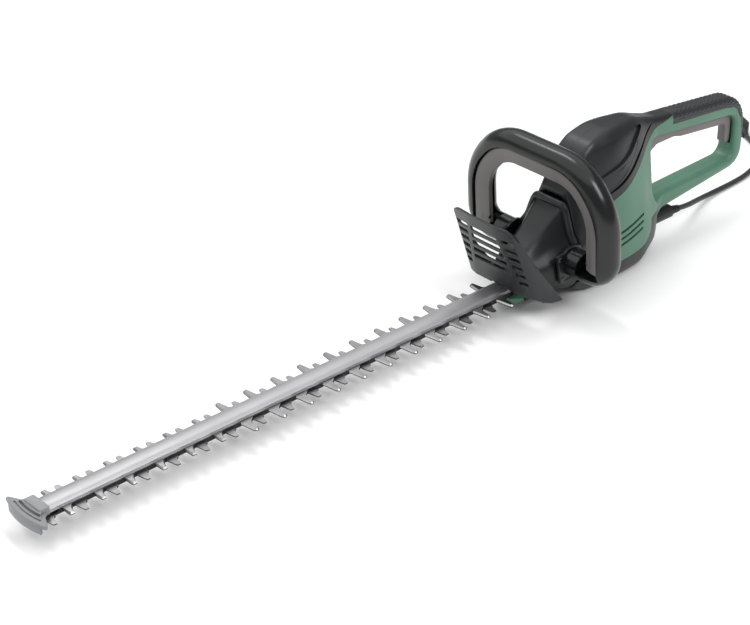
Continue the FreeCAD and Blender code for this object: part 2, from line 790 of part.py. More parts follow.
def vent_cuts():
    """Three slanted slots in each flank."""
    slots = []
    for i in range(3):
        z = 72.0 - 8.5 * i
        slot = box(284.0 + 2.0 * i, 340.0 - 2.0 * i, 30, 60, z - 1.8, z + 1.8)
        slot.rotate(Vec(312, 0, z), Vec(0, 1, 0), -9.0)
        slots += [slot, mirror(slot)]
    return fuse(slots)


def vent_panel_cuts():
    """A crescent slot behind each cover's raised panel, beside the green shell."""
    top = [(x, z + 17.0) for x, z in green_line[2:7]]
    low = [(x, z + 11.0) for x, z in green_line[2:7]]
    points = [Vec(x, 10, z) for x, z in top] + [Vec(x, 10, z) for x, z in reversed(low)]
    slot = Part.Face(Part.makePolygon(points + [points[0]])).extrude(Vec(0, 60, 0))
    return fuse([slot, mirror(slot)])


def gear_housing():
    """Black nose over the gears, open behind, with a slot in front for the cutter."""
    outer = loft_body(head_stations)
    inner = loft_body(head_stations, wall).common(box(head_x + wall, 220, -80, 80, 0, 200))
    slot_room = spine_half + 2.0
    blade_slot = box(head_x - 1, head_x + 6, -slot_room, slot_room, lower_bottom - 1.0, bar_bottom + 0.5)
    bar_slot = box(head_x - 1, head_x + 6, -bar_half - 0.5, bar_half + 0.5, lower_bottom, bar_bottom + 9.0)
    return outer.cut(fuse([inner, blade_slot, bar_slot])).cut(side_plate_room())


def side_plate_room():
    blocks = []
    for side in (-1, 1):
        y0 = side * (plate_half - plate_thick)
        y1 = side * 80.0
        blocks.append(side_prism(plate_outline, [2, 2, 2, 2], min(y0, y1), max(y0, y1)))
        blocks.append(rod_y(hoop_r + plate_rim, min(y0, y1), max(y0, y1), hoop_base_x, hoop_base_z))
    return fuse(blocks)


def side_plate(side):
    y1 = side * plate_half
    y0 = side * (plate_half - plate_thick)
    plate = side_prism(plate_outline, [2, 2, 2, 2], min(y0, y1), max(y0, y1))
    boss = rod_y(hoop_r + plate_rim, min(y0, y1), max(y0, y1), hoop_base_x, hoop_base_z)
    hole = rod_y(hoop_r + seat_gap, min(y0, y1), max(y0, y1), hoop_base_x, hoop_base_z)
    cuts = [hole]
    for x, z in plate_screws:
        cuts.append(rod_y(1.9, min(y0, y1), max(y0, y1), x, z))
    return fuse([plate, boss]).cut(fuse(cuts))


def side_plate_left():
    return side_plate(-1)


def side_plate_right():
    return side_plate(1)


def pan_screw(side, x, y, z, length, r=1.8, head_r=3.4, head_high=1.8):
    """Cross-head screw driven across the tool: its head stands on the face at y."""
    base = y
    shank = rod_y(r, min(base, base - side * length), max(base, base - side * length), x, z)
    head = rod_y(head_r, min(base, base + side * head_high), max(base, base + side * head_high), x, z)
    deep = base + side * (head_high - 1.0)
    out = base + side * (head_high + 0.1)
    cross = fuse([box(x - 2.0, x + 2.0, min(deep, out), max(deep, out), z - 0.4, z + 0.4),
                  box(x - 0.4, x + 0.4, min(deep, out), max(deep, out), z - 2.0, z + 2.0)])
    return fuse([shank, head]).cut(cross)


def side_plate_screws():
    screws = []
    for side in (-1, 1):
        for x, z in plate_screws:
            screws.append(pan_screw(side, x, side * plate_half, z, plate_thick, r=1.8))
    return Part.makeCompound(screws)


def lower_housing():
    """Green tongue under the cutter, in front of the gear head."""
    points = [(head_x - 16.0, -12.0), (head_x - 11.0, -20.0), (head_x, -22.0), (head_x, 22.0),
              (head_x - 11.0, 20.0), (head_x - 16.0, 12.0)]
    return plan_prism(points, [4, 6, 0, 0, 6, 4], head_bottom, lower_bottom - bolt_head_high - 2.0 * fit_gap)


def guard_section(z, back):
    """Right-hand half of the guard at a height: ridge, cheek, corner and rear edge."""
    down = (guard_high_z - z) / (guard_high_z - guard_low_z)
    front = guard_top_x + (guard_high_z - z) * guard_lean + back
    return [(front, 20.0 + 24.0 * down), (front + 3.0, guard_half - 10.0 + 4.0 * down),
            (front + 8.0, guard_half - 4.0 + 3.0 * down), (front + 10.0 + 35.0 * down, guard_half)]


def guard_loft(front, back):
    wires = []
    for z in (guard_low_z, guard_high_z):
        near = guard_section(z, front)
        far = guard_section(z, back)
        shift = back - front
        far = [(x, y - shift * k) for (x, y), k in zip(far, (0.0, 0.2, 0.9, 1.0))]
        far[-1] = (near[-1][0], near[-1][1] - shift)
        points = [Vec(x, -y, z) for x, y in reversed(near)] + [Vec(x, y, z) for x, y in near]
        points += [Vec(x, y, z) for x, y in reversed(far)] + [Vec(x, -y, z) for x, y in far]
        wires.append(Part.makePolygon(points + [points[0]]))
    return Part.makeLoft(wires, True, True)


def guard_slots():
    """Five slots in the front facet and six in each cheek."""
    cuts = []
    for i in range(6):
        z = 118.0 - 12.0 * i
        ridge_y = guard_section(z, 0)[0][1]
        if i < 5:
            cuts.append(box(60, 160, -ridge_y + 3.0, ridge_y - 3.0, z - 3.6, z + 3.6))
        for side in (-1, 1):
            y0 = side * (ridge_y + 3.5)
            y1 = side * (guard_half - 4.0)
            cuts.append(box(60, 200, min(y0, y1), max(y0, y1), z - 3.4, z + 3.4))
    return cuts


def hand_guard():
    """Bent shield in front of the front handle, with a notch for the bar and two tabs on the head."""
    shield = guard_loft(0.0, guard_thick)
    side_view = [(60, 140), (97, 140), (104, 121), (121, 97), (150, 58), (181, 19), (161, 22), (146, 28),
                 (134, 36), (60, 36)]
    shield = shield.common(side_prism(side_view, [0, 5, 0, 0, 0, 1.5, 0, 0, 0, 0], -60, 60))
    front_view = [(-60, 10), (-60, 112), (-46, 140), (46, 140), (60, 112), (60, 10)]
    outline = rounded([Vec(50, y, z) for y, z in front_view], [0, 16, 12, 12, 16, 0])
    shield = shield.common(Part.Face(outline).extrude(Vec(160, 0, 0)))
    notch = box(100, 200, -bar_half - 24.5, bar_half + 24.5, 0, bar_bottom + 0.5)
    bar_room = box(100, 200, -bar_half - 1.0, bar_half + 1.0, 0, bar_bottom + bar_high + 1.0)
    shield = shield.cut(fuse(guard_slots() + [notch, bar_room]))
    tabs = []
    for side in (-1, 1):
        y0 = side * 17.0
        y1 = side * 21.0
        tabs.append(box(118.0, head_x, min(y0, y1), max(y0, y1), bar_bottom + bar_high + 3.0, 56.0))
    tab_room = guard_loft(-40.0, guard_thick / 2.0)
    shield = fuse([shield, fuse(tabs).cut(tab_room)])
    return shield.cut(loft_body(head_stations, -0.1))


# ---- front handle ----------------------------------------------------------------------------------
hoop_place = FreeCAD.Placement(
    Vec(hoop_base_x, 0, hoop_base_z),
    FreeCAD.Rotation(Vec(0, 1, 0), -hoop_lean))


def hoop_outline(inset):
    """Hoop seen along its own plane as (across, up) points: sides, sloping shoulders and a flat crown."""
    points = [(-hoop_half, -40.0), (-hoop_half, hoop_side), (-hoop_crown_half, hoop_rise),
              (hoop_crown_half, hoop_rise), (hoop_half, hoop_side), (hoop_half, -40.0)]
    moved = []
    n = len(points)
    for i in range(n):
        a, b, c = points[i - 1], points[i], points[(i + 1) % n]
        moved.append(inset_corner(a, b, c, inset))
    side = side_bend_r - inset
    crown = crown_bend_r - inset
    return moved, [0, side, crown, crown, side, 0]


def inset_corner(a, b, c, d):
    """Corner b of a clockwise outline after both its edges move inwards by d."""
    u = Vec(b[0] - a[0], b[1] - a[1], 0)
    v = Vec(c[0] - b[0], c[1] - b[1], 0)
    u.normalize()
    v.normalize()
    nu = Vec(u.y, -u.x, 0)
    nv = Vec(v.y, -v.x, 0)
    bisector = nu.add(nv)
    scale = d * 2.0 / bisector.dot(bisector)
    return b[0] + bisector.x * scale, b[1] + bisector.y * scale


def hoop_local(points, radii, n0, n1):
    """Prism of an outline in the hoop's plane, from n0 to n1 along the plane's rearward normal."""
    wire = rounded([Vec(n0, y, s) for y, s in points], radii)
    return Part.Face(wire).extrude(Vec(n1 - n0, 0, 0))


def placed(shape):
    out = shape.copy()
    out.Placement = hoop_place.multiply(out.Placement)
    return out


def hoop_path():
    """Centre line of the tube: out of one side plate, up, over and down into the other."""
    sweep = 24.0
    start = plate_half - plate_thick
    points = [(-hoop_half, 0.0), (-hoop_half, hoop_side), (-hoop_crown_half, hoop_rise),
              (hoop_crown_half, hoop_rise), (hoop_half, hoop_side), (hoop_half, 0.0)]
    radii = [sweep, side_bend_r, crown_bend_r, crown_bend_r, side_bend_r, sweep]
    closed = rounded([Vec(0, -start, 0)] + [Vec(0, y, s) for y, s in points] + [Vec(0, start, 0)],
                     [0] + radii + [0])
    edges = [e for e in closed.Edges if not (e.BoundBox.ZMax < 0.01 and abs(e.CenterOfMass.y) < 1.0)]
    return Part.Wire(Part.__sortEdges__(edges))


def lever_band(front, back, outer, inner, foot):
    points, radii = hoop_outline(outer)
    band = hoop_local(points, radii, front, back)
    points, radii = hoop_outline(inner)
    band = band.cut(hoop_local(points, radii, front - 1, back + 1))
    return band.common(box(-90, 90, -150, 150, foot, 250))


def front_handle():
    path = hoop_path()
    start = plate_half - plate_thick
    profile = Part.Wire(Part.makeCircle(hoop_r, Vec(0, -start, 0), Vec(0, 1, 0)))
    tube = path.makePipeShell([profile], True, False)
    room = lever_band(lever_front - 12.0, lever_back + 8.5, lever_outer - 0.6, lever_inner + 30.0,
                      lever_foot - 9.0)
    keep = box(-60, 60, -plate_half - 20, plate_half + 20, -30, 40)
    return placed(tube.cut(room.cut(keep)))


def front_lever():
    return placed(lever_band(lever_front, lever_back, lever_outer, lever_inner, lever_foot))


def front_lever_pins():
    pins = []
    for side in (-1, 1):
        y = side * pivot_y
        pins.append(placed(rod_y(lever_pin_r, y - pin_half, y + pin_half, pivot_n, pivot_s)))
    return Part.makeCompound(pins)


def spring_tube(side):
    y0 = side * (pivot_y - lever_spring_inset)
    y1 = y0 + side * lever_spring_wide
    outer = rod_y(lever_spring_r, min(y0, y1), max(y0, y1), pivot_n, pivot_s)
    return outer.cut(rod_y(lever_pin_r + 0.15, min(y0, y1), max(y0, y1), pivot_n, pivot_s))


def front_lever_springs():
    """Torsion springs round the lever's pins, set in its feet."""
    return Part.makeCompound([placed(spring_tube(side)) for side in (-1, 1)])


def drilled_front_lever():
    lever = front_lever()
    holes = []
    for side in (-1, 1):
        y = side * pivot_y
        holes.append(placed(rod_y(lever_pin_r + run_fit, y - 20.0, y + 20.0, pivot_n, pivot_s)))
        y0 = side * (pivot_y - lever_spring_inset)
        y1 = y0 + side * (lever_spring_wide + lever_spring_room)
        holes.append(placed(rod_y(lever_spring_r, min(y0, y1), max(y0, y1), pivot_n, pivot_s)))
    return lever.cut(fuse(holes))


def front_switch_block(grow):
    """Switch set in the hoop's right-hand side, behind the lever."""
    n0 = lever_back + 8.5 - 3.5
    return box(n0 - grow, n0 + 7.0 + grow, -hoop_half + 4.0 - grow, -hoop_half + 14.0 + grow,
               front_switch_s - 7.0 - grow, front_switch_s + 7.0 + grow)


def front_switch():
    hole = rod_x(1.6 + run_fit, -2.0, 12.0, -hoop_half + 9.0, front_switch_s)
    return placed(front_switch_block(0.0).cut(hole))


def front_plunger():
    return placed(rod_x(1.6, lever_back + 0.1, 5.5, -hoop_half + 9.0, front_switch_s))


def drilled_front_handle():
    handle = front_handle()
    cuts = [placed(front_switch_block(0.0))]
    for side in (-1, 1):
        y = side * pivot_y
        cuts.append(placed(rod_y(lever_pin_r, y - pin_half, y + pin_half, pivot_n, pivot_s)))
    return handle.cut(fuse(cuts))


# ---- rear controls -----------------------------------------------------------------------------------
def rear_lever_shape():
    """Long lever under the handle's top bar, with a finger bump and a leg at the rear."""
    half = lever_half
    leg_back = rear_x - rear_bar - 1.5
    leg_front = leg_back - 10.5
    outline = [(383.0, 160.0), (400.0, lever_top_z(400.0)), (leg_back, lever_top_z(leg_back)),
               (leg_back, lever_foot_z), (leg_front, lever_foot_z), (leg_front, 124.0), (450.0, 135.0),
               (436.0, 139.0), (402.0, 139.0), (384.0, 128.0)]
    radii = [3, 0, 3, 3, 3, 6, 12, 12, 10, 3]
    lever = side_prism(outline, radii, -half, half)
    return lever.cut(rod_y(lever_pin_r + run_fit, -half - 1, half + 1, lever_pivot_x, lever_pivot_z))


def rear_lever_pin():
    half = handle_half - grip_side - wall + 0.4
    return rod_y(lever_pin_r, -half, half, lever_pivot_x, lever_pivot_z)


def lever_top_z(x):
    return 162.0 - (x - 400.0) * grip_slope


def rear_lever_spring():
    low = lever_top_z(spring_x - 4.0) + 0.3
    high = grip_z(spring_x + 4.0) - grip_thick - wall - 1.0
    tube = disc(3.8, high - low, spring_x, 0, low)
    return tube.cut(disc(2.8, high - low, spring_x, 0, low))


def rear_switch():
    low = lever_top_z(switch_x - 9.0) + 3.6
    high = grip_z(switch_x + 9.0) - grip_thick - wall - 0.8
    block = box(switch_x - 9.0, switch_x + 9.0, -7.0, 7.0, low, high)
    return block.cut(disc(1.6 + run_fit, high - low, switch_x, 0, low))


def rear_plunger():
    low = lever_top_z(switch_x - 2.0) + 0.15
    return disc(1.6, 6.0, switch_x, 0, low)


# ---- fasteners ----------------------------------------------------------------------------------------
shell_screw_places = [(234.0, 66.0, 50.0), (332.0, 40.0, 46.5), (500.0, 65.0, 15.0)]


def shell_screws():
    screws = []
    for x, z, y in shell_screw_places:
        screws.append(rod_y(1.8, 0.0, y - 4.0, x, z))
    return Part.makeCompound(screws)


# ---- supply lead --------------------------------------------------------------------------------------
cord_route = [Vec(464.0, 0.3, 24.0), Vec(487.5, 3.8, 18.4), Vec(514.5, 12.4, 12.2), Vec(546.0, 20.4, 5.8),
              Vec(579.0, 23.0, 3.6), Vec(612.0, 23.6, 3.6), Vec(645.0, 26.8, 3.6), Vec(680.0, 38.0, 3.6),
              Vec(712.0, 58.0, 3.6), Vec(730.0, 84.0, 3.6), Vec(741.0, 106.0, 3.6)]


def relief_axis():
    along = cord_route[1] - cord_route[0]
    along.normalize()
    return along


def relief_back():
    return cord_route[0] - relief_axis() * relief_length


def strain_relief():
    """Tapered sleeve that guides the lead out of the body."""
    along = relief_axis()
    back = relief_back()
    cone = Part.makeCone(8.5, 5.2, relief_length, back, along)
    collar = Part.makeCylinder(9.5, 6.0, back - along * 2.0, along)
    sleeve = fuse([cone, collar])
    grooves = []
    for i in range(4):
        at = back + along * (8.0 + 5.0 * i)
        ring = Part.makeCylinder(10.0, 1.6, at, along).cut(Part.makeCylinder(6.2 - 0.4 * i, 1.6, at, along))
        grooves.append(ring)
    return sleeve.cut(fuse(grooves))


def cord():
    """The lead's tube: straight runs joined by tangent arcs."""
    edges = []
    start = cord_route[0]
    for i in range(1, len(cord_route) - 1):
        p = cord_route[i]
        to_prev = cord_route[i - 1] - p
        to_next = cord_route[i + 1] - p
        turn = math.pi - to_prev.getAngle(to_next)
        cut = 0.45 * min(to_prev.Length, to_next.Length)
        radius = cut / math.tan(turn / 2.0)
        to_prev.normalize()
        to_next.normalize()
        middle = to_prev.add(to_next)
        middle.normalize()
        first = p + to_prev * cut
        last = p + to_next * cut
        crown = p + middle * (radius / math.cos(turn / 2.0) - radius)
        edges.append(Part.LineSegment(start, first).toShape())
        edges.append(Part.Arc(first, crown, last).toShape())
        start = last
        print("cord bend", i, "radius", round(radius, 1), "turn", round(math.degrees(turn), 1))
    edges.append(Part.LineSegment(start, cord_route[-1]).toShape())
    path = Part.Wire(edges)
    along = cord_route[1] - cord_route[0]
    profile = Part.Wire(Part.makeCircle(cord_d / 2.0, cord_route[0], along))
    tube = path.makePipeShell([profile], True, False)
    length = path.Length
    print("cord length", round(length, 1), "volume / section",
          round(tube.Volume / (math.pi * cord_d ** 2 / 4.0), 1))
    return tube


def plug():
    """Two-pin plug lying on the ground at the lead's end."""
    end = cord_route[-1]
    along = end - cord_route[-2]
    along.z = 0
    along.normalize()
    low = 0.0
    centre_z = end.z
    turn = math.degrees(math.atan2(along.y, along.x))
    body = box(0, 34.0, -9.5, 9.5, low, 19.0)
    body = body.makeFillet(3.0, [e for e in body.Edges if abs(e.BoundBox.ZMax - e.BoundBox.ZMin) > 5])
    neck = Part.makeCone(5.0, 8.0, 12.0, Vec(-10, 0, centre_z + 2.0), Vec(1, 0, 0.18))
    neck = neck.common(box(-12, 3, -12, 12, low, 19))
    pins = [rod_x(2.4, 33.0, 53.0, y, 9.5) for y in (-6.0, 6.0)]
    out = fuse([body, neck] + pins)
    out.rotate(Vec(0, 0, 0), Vec(0, 0, 1), turn)
    out.translate(Vec(end.x + along.x * 10.0, end.y + along.y * 10.0, 0))
    return out


# ---- build --------------------------------------------------------------------------------------------
def build():
    simple = {
        "upper_blade": upper_blade, "lower_blade": lower_blade, "upper_crank_pin": upper_pin,
        "lower_crank_pin": lower_pin, "support_bar": support_bar, "blade_bolts": blade_bolts,
        "tip_guard": tip_guard,
        "drive_gear": drive_gear, "upper_eccentric": upper_eccentric, "lower_eccentric": lower_eccentric,
        "gear_bush": gear_bush, "gear_axle": gear_axle, "upper_rod": upper_rod, "lower_rod": lower_rod,
        "gear_plate": gear_plate,
        "armature_shaft": armature_shaft, "pinion": pinion, "armature_core": armature_core,
        "armature_windings": armature_windings, "commutator": commutator, "cooling_fan": cooling_fan,
        "motor_bearings": motor_bearings, "field_core": field_core, "field_coils": field_coils,
        "motor_frame": motor_frame, "carbon_brushes": carbon_brushes, "brush_holders": brush_holders,
        "gear_housing": gear_housing, "side_plate_left": side_plate_left,
        "side_plate_right": side_plate_right, "side_plate_screws": side_plate_screws,
        "lower_housing": lower_housing, "hand_guard": hand_guard,
        "front_handle": drilled_front_handle, "front_lever": drilled_front_lever,
        "front_lever_pins": front_lever_pins, "front_lever_springs": front_lever_springs,
        "front_switch": front_switch, "front_plunger": front_plunger,
        "rear_lever": rear_lever_shape, "rear_lever_pin": rear_lever_pin,
        "rear_lever_spring": rear_lever_spring, "rear_switch": rear_switch, "rear_plunger": rear_plunger,
        "shell_screws": shell_screws, "strain_relief": strain_relief, "cord": cord, "plug": plug,
    }
    for name, make in simple.items():
        save(name, make())
    base, cover, shells = split_body()
    grip, shells = rear_grip_from(shells)
    pin = rod_y(lever_pin_r, -11.5, 11.5, lever_pivot_x, lever_pivot_z)
    shells = shells.cut(fuse([vent_cuts(), lever_room(), stub_room(), pin]))
    cover = cover.cut(fuse([vent_panel_cuts(), lever_room()]))
    base = base.cut(stub_room())
    save("base_shoe", base)
    save("rear_grip", grip)
    for name, whole in (("shell", shells), ("motor_cover", cover)):
        left, right = halves(whole)
        save(name + "_left", left)
        save(name + "_right", right)


build()
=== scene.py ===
"""Looks of the hedge trimmer: covers, handles, guard, cutter and lead, built round the fixed frame."""
import math

import bmesh
import bpy
import numpy as np
from mathutils import Matrix, Vector


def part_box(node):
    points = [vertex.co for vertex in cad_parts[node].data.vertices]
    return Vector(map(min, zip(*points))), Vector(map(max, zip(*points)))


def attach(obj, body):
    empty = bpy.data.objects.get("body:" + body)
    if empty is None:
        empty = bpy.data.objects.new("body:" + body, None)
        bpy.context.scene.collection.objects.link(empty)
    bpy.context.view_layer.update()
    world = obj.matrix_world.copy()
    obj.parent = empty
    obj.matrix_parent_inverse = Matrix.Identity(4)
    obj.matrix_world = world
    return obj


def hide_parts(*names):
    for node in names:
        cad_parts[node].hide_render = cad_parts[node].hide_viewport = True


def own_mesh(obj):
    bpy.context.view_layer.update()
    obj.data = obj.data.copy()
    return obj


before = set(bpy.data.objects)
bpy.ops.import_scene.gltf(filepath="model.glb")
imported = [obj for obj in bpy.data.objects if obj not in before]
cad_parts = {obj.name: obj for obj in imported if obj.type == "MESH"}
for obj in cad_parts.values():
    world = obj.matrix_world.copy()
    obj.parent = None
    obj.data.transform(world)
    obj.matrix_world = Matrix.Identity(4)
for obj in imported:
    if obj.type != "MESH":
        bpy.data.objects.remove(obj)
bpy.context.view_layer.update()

MM = 0.001
FLOOR_HALF = 40.0
FLOOR_DROP = 0.0002
MERGE_WITHIN = 1e-7


def mm(*values):
    """A point given in millimetres, as a vector in metres."""
    return Vector([v * MM for v in values])


# ---- camera, light and floor ---------------------------------------------------------------------
def camera():
    data = bpy.data.cameras.new("camera")
    data.lens = 99.94
    data.sensor_width = 36.0
    data.clip_end = 100.0
    turn = math.radians(-42.6)
    tilt = math.radians(30.21)
    back = Vector((math.sin(turn) * math.cos(tilt), -math.cos(turn) * math.cos(tilt), math.sin(tilt)))
    right = Vector((math.cos(turn), math.sin(turn), 0.0))
    up = back.cross(right)
    rows = Matrix((right, up, back)).transposed()
    eye = bpy.data.objects.new("camera", data)
    eye.matrix_world = Matrix.Translation(Vector((-1.4804, -1.5248, 1.2848))) @ rows.to_4x4()
    bpy.context.scene.collection.objects.link(eye)
    bpy.context.scene.camera = eye


def soft_light(name, place, aim, size, power, size_y=None):
    data = bpy.data.lights.new(name, "AREA")
    data.energy = power
    data.size = size
    if size_y:
        data.shape = "RECTANGLE"
        data.size_y = size_y
    lamp = bpy.data.objects.new(name, data)
    lamp.location = place
    lamp.rotation_euler = (Vector(aim) - Vector(place)).to_track_quat("-Z", "Y").to_euler()
    bpy.context.scene.collection.objects.link(lamp)


def studio():
    aim = (0.25, 0.0, 0.08)
    soft_light("key", (0.3, -1.9, 1.9), aim, 0.9, 22.0)
    soft_light("far", (0.3, 0.9, 2.3), aim, 0.4, 13.0, 1.4)
    soft_light("tip", (-1.9, 0.9, 0.8), (-0.2, 0.0, 0.05), 0.7, 0.6)
    data = bpy.data.lights.new("sky", "SUN")
    data.energy = 2.1
    data.angle = math.radians(110.0)
    sun = bpy.data.objects.new("sky", data)
    sun.rotation_euler = Vector((0.15, -0.25, -1.0)).to_track_quat("-Z", "Y").to_euler()
    bpy.context.scene.collection.objects.link(sun)
    world = bpy.data.worlds.new("studio")
    world.use_nodes = True
    world.node_tree.nodes["Background"].inputs["Color"].default_value = (1.0, 1.0, 1.0, 1.0)
    world.node_tree.nodes["Background"].inputs["Strength"].default_value = 0.36
    bpy.context.scene.world = world
    bpy.context.scene.view_settings.view_transform = "Standard"


# ---- shader maths --------------------------------------------------------------------------------
class Sock:
    """A shader socket that adds Math nodes when it is used in an expression."""

    def __init__(self, tree, link):
        self.tree = tree
        self.link = link

    def _math(self, operation, *values):
        node = self.tree.nodes.new("ShaderNodeMath")
        node.operation = operation
        for socket, value in zip(node.inputs, values):
            feed(self.tree, socket, value)
        return Sock(self.tree, node.outputs[0])

    def __add__(self, other):
        return self._math("ADD", self, other)

    __radd__ = __add__

    def __sub__(self, other):
        return self._math("SUBTRACT", self, other)

    def __rsub__(self, other):
        return self._math("SUBTRACT", other, self)

    def __mul__(self, other):
        return self._math("MULTIPLY", self, other)

    __rmul__ = __mul__

    def above(self, edge, soft):
        """0 below the edge, 1 above it, over a soft step."""
        node = self.tree.nodes.new("ShaderNodeMapRange")
        node.interpolation_type = "SMOOTHSTEP"
        feed(self.tree, node.inputs[0], self)
        feed(self.tree, node.inputs[1], edge - soft)
        feed(self.tree, node.inputs[2], edge + soft)
        return Sock(self.tree, node.outputs[0])


def feed(tree, socket, value):
    if isinstance(value, Sock):
        tree.links.new(value.link, socket)
    elif isinstance(value, (tuple, list)) and len(value) == 3 and socket.type == "RGBA":
        socket.default_value = (*value, 1.0)
    else:
        socket.default_value = value


def make_node(tree, kind, out=0, settings=None, **inputs):
    """Any node: its settings first, then the values or links of its sockets, by name."""
    node = tree.nodes.new(kind)
    for key, value in (settings or {}).items():
        setattr(node, key, value)
    for key, value in inputs.items():
        feed(tree, node.inputs[key.replace("_", " ")], value)
    return Sock(tree, node.outputs[out])


def mix_colour(tree, mask, a, b):
    node = tree.nodes.new("ShaderNodeMix")
    node.data_type = "RGBA"
    feed(tree, node.inputs[0], mask)
    feed(tree, node.inputs[6], a)
    feed(tree, node.inputs[7], b)
    return Sock(tree, node.outputs[2])


class Finish:
    """A material on Object coordinates with its principled shader."""

    def __init__(self, name):
        self.material = bpy.data.materials.new(name)
        self.material.use_nodes = True
        self.tree = self.material.node_tree
        self.shader = self.tree.nodes["Principled BSDF"]
        self.place = make_node(self.tree, "ShaderNodeTexCoord", out=3)

    def noise(self, scale, detail=4.0, rough=0.55, stretch=None):
        where = self.place
        if stretch:
            where = make_node(self.tree, "ShaderNodeMapping", Vector=self.place, Scale=stretch)
        return make_node(self.tree, "ShaderNodeTexNoise", Vector=where, Scale=scale, Detail=detail,
                         Roughness=rough)

    def edge_wear(self, sharp):
        """High on raised edges."""
        bend = make_node(self.tree, "ShaderNodeNewGeometry", out=7)
        return bend.above(0.5 + sharp, 0.04)

    def set(self, **values):
        for key, value in values.items():
            feed(self.tree, self.shader.inputs[key.replace("_", " ")], value)

    def bump(self, height, strength, distance):
        node = make_node(self.tree, "ShaderNodeBump", Height=height, Strength=strength, Distance=distance)
        feed(self.tree, self.shader.inputs["Normal"], node)


def moulded(name, colour, rough, grain=0.12, sheen=0.0, coat=0.0):
    """Moulded plastic: a fine spark texture, faint cloudiness, and handling marks that change the gloss."""
    f = Finish(name)
    cloud = f.noise(14.0, 3.0)
    marks = f.noise(55.0, 6.0, 0.7)
    grit = f.noise(1500.0, 2.0)
    pale = tuple(min(1.0, c * 1.25 + 0.003) for c in colour)
    dark = tuple(c * 0.86 for c in colour)
    base = mix_colour(f.tree, cloud.above(0.5, 0.3), dark, colour)
    base = mix_colour(f.tree, f.edge_wear(0.06) * 0.55, base, pale)
    f.set(Base_Color=base, Roughness=marks * 0.16 + (rough - 0.08), IOR=1.48, Coat_Weight=coat,
          Coat_Roughness=0.18, Sheen_Weight=sheen)
    f.bump(grit, grain, 0.00012)
    return f.material


def metal(name, colour, rough, streak, along=(1.0, 1.0, 1.0), dark=0.8):
    """Ground or rolled metal: fine streaks one way and faint stains."""
    f = Finish(name)
    lines = f.noise(streak, 3.0, 0.6, stretch=along)
    stain = f.noise(24.0, 5.0, 0.6)
    shade = tuple(c * dark for c in colour)
    base = mix_colour(f.tree, stain.above(0.52, 0.2), colour, shade)
    f.set(Base_Color=base, Metallic=1.0, Roughness=lines * 0.22 + (rough - 0.1))
    f.bump(lines, 0.14, 0.0001)
    return f.material


def ground_steel(name, face, side):
    """Blade steel: bright ground faces with fine streaks, and upright faces painted near-black as painted
    shade for the dark reflection they show.
    """
    f = Finish(name)
    lines = f.noise(260.0, 3.0, 0.6, stretch=(0.05, 1.0, 1.0))
    stain = f.noise(30.0, 5.0, 0.65)
    dull = tuple(c * 0.78 for c in face)
    # upright faces take the side colour and less metal: painted shade standing in for their dark reflection
    upright_painted_shade = make_node(f.tree, "ShaderNodeAttribute", out=2, settings={"attribute_name": "upright_painted_shade"})
    bright = mix_colour(f.tree, stain.above(0.54, 0.16), face, dull)
    f.set(Base_Color=mix_colour(f.tree, upright_painted_shade, bright, side), Metallic=1.0 - upright_painted_shade * 0.3,
          Roughness=lines * 0.2 + 0.24)
    f.bump(lines, 0.12, 0.0001)
    return f.material


def rubbery(name, colour, rough):
    f = Finish(name)
    soft = f.noise(420.0, 4.0, 0.6)
    dust = f.noise(30.0, 5.0, 0.65)
    pale = tuple(c * 1.5 + 0.004 for c in colour)
    f.set(Base_Color=mix_colour(f.tree, dust.above(0.58, 0.16) * 0.5, colour, pale),
          Roughness=soft * 0.18 + (rough - 0.09))
    f.bump(soft, 0.2, 0.0001)
    return f.material


def pale_floor():
    f = Finish("floor")
    f.set(Base_Color=mix_colour(f.tree, f.noise(3.0).above(0.5, 0.3), (0.93, 0.93, 0.93), (0.95, 0.95, 0.95)),
          Roughness=0.75)
    return f.material


def finishes():
    lengthwise = (0.04, 1.0, 1.0)
    return {
        "green_plastic": moulded("green_plastic", (0.078, 0.200, 0.130), 0.38, 0.16),
        "cover_plastic": moulded("cover_plastic", (0.0085, 0.0105, 0.0115), 0.36, 0.14),
        "black_plastic": moulded("black_plastic", (0.0075, 0.009, 0.010), 0.38, 0.2),
        "handle_plastic": moulded("handle_plastic", (0.005, 0.0056, 0.0063), 0.22, 0.06),
        "lever_plastic": moulded("lever_plastic", (0.155, 0.143, 0.142), 0.42, 0.16),
        "tip_plastic": moulded("tip_plastic", (0.25, 0.257, 0.268), 0.38, 0.16),
        "inner_plastic": moulded("inner_plastic", (0.03, 0.03, 0.03), 0.5, 0.2),
        "grip_rubber": rubbery("grip_rubber", (0.012, 0.013, 0.015), 0.40),
        "cord_rubber": rubbery("cord_rubber", (0.016, 0.016, 0.017), 0.42),
        # the second colour is painted shade for the blades' upright faces
        "blade_steel": ground_steel("blade_steel", (0.42, 0.415, 0.415), (0.016, 0.0155, 0.015)),
        "bar_aluminium": metal("bar_aluminium", (0.45, 0.45, 0.462), 0.48, 420.0, lengthwise, 0.93),
        "zinc_steel": metal("zinc_steel", (0.13, 0.13, 0.135), 0.36, 300.0),
        "hard_steel": metal("hard_steel", (0.36, 0.36, 0.37), 0.32, 500.0),
        "core_steel": metal("core_steel", (0.22, 0.22, 0.23), 0.45, 900.0, (1.0, 1.0, 40.0)),
        "cast_plate": metal("cast_plate", (0.5, 0.5, 0.51), 0.5, 120.0),
        "bronze": metal("bronze", (0.55, 0.38, 0.2), 0.42, 300.0),
        "copper": metal("copper", (0.62, 0.28, 0.14), 0.34, 1400.0, (1.0, 1.0, 30.0)),
        "brass_holder": metal("brass_holder", (0.7, 0.53, 0.24), 0.36, 300.0),
        "carbon": moulded("carbon", (0.02, 0.02, 0.02), 0.7, 0.4),
    }


FINISH = finishes()


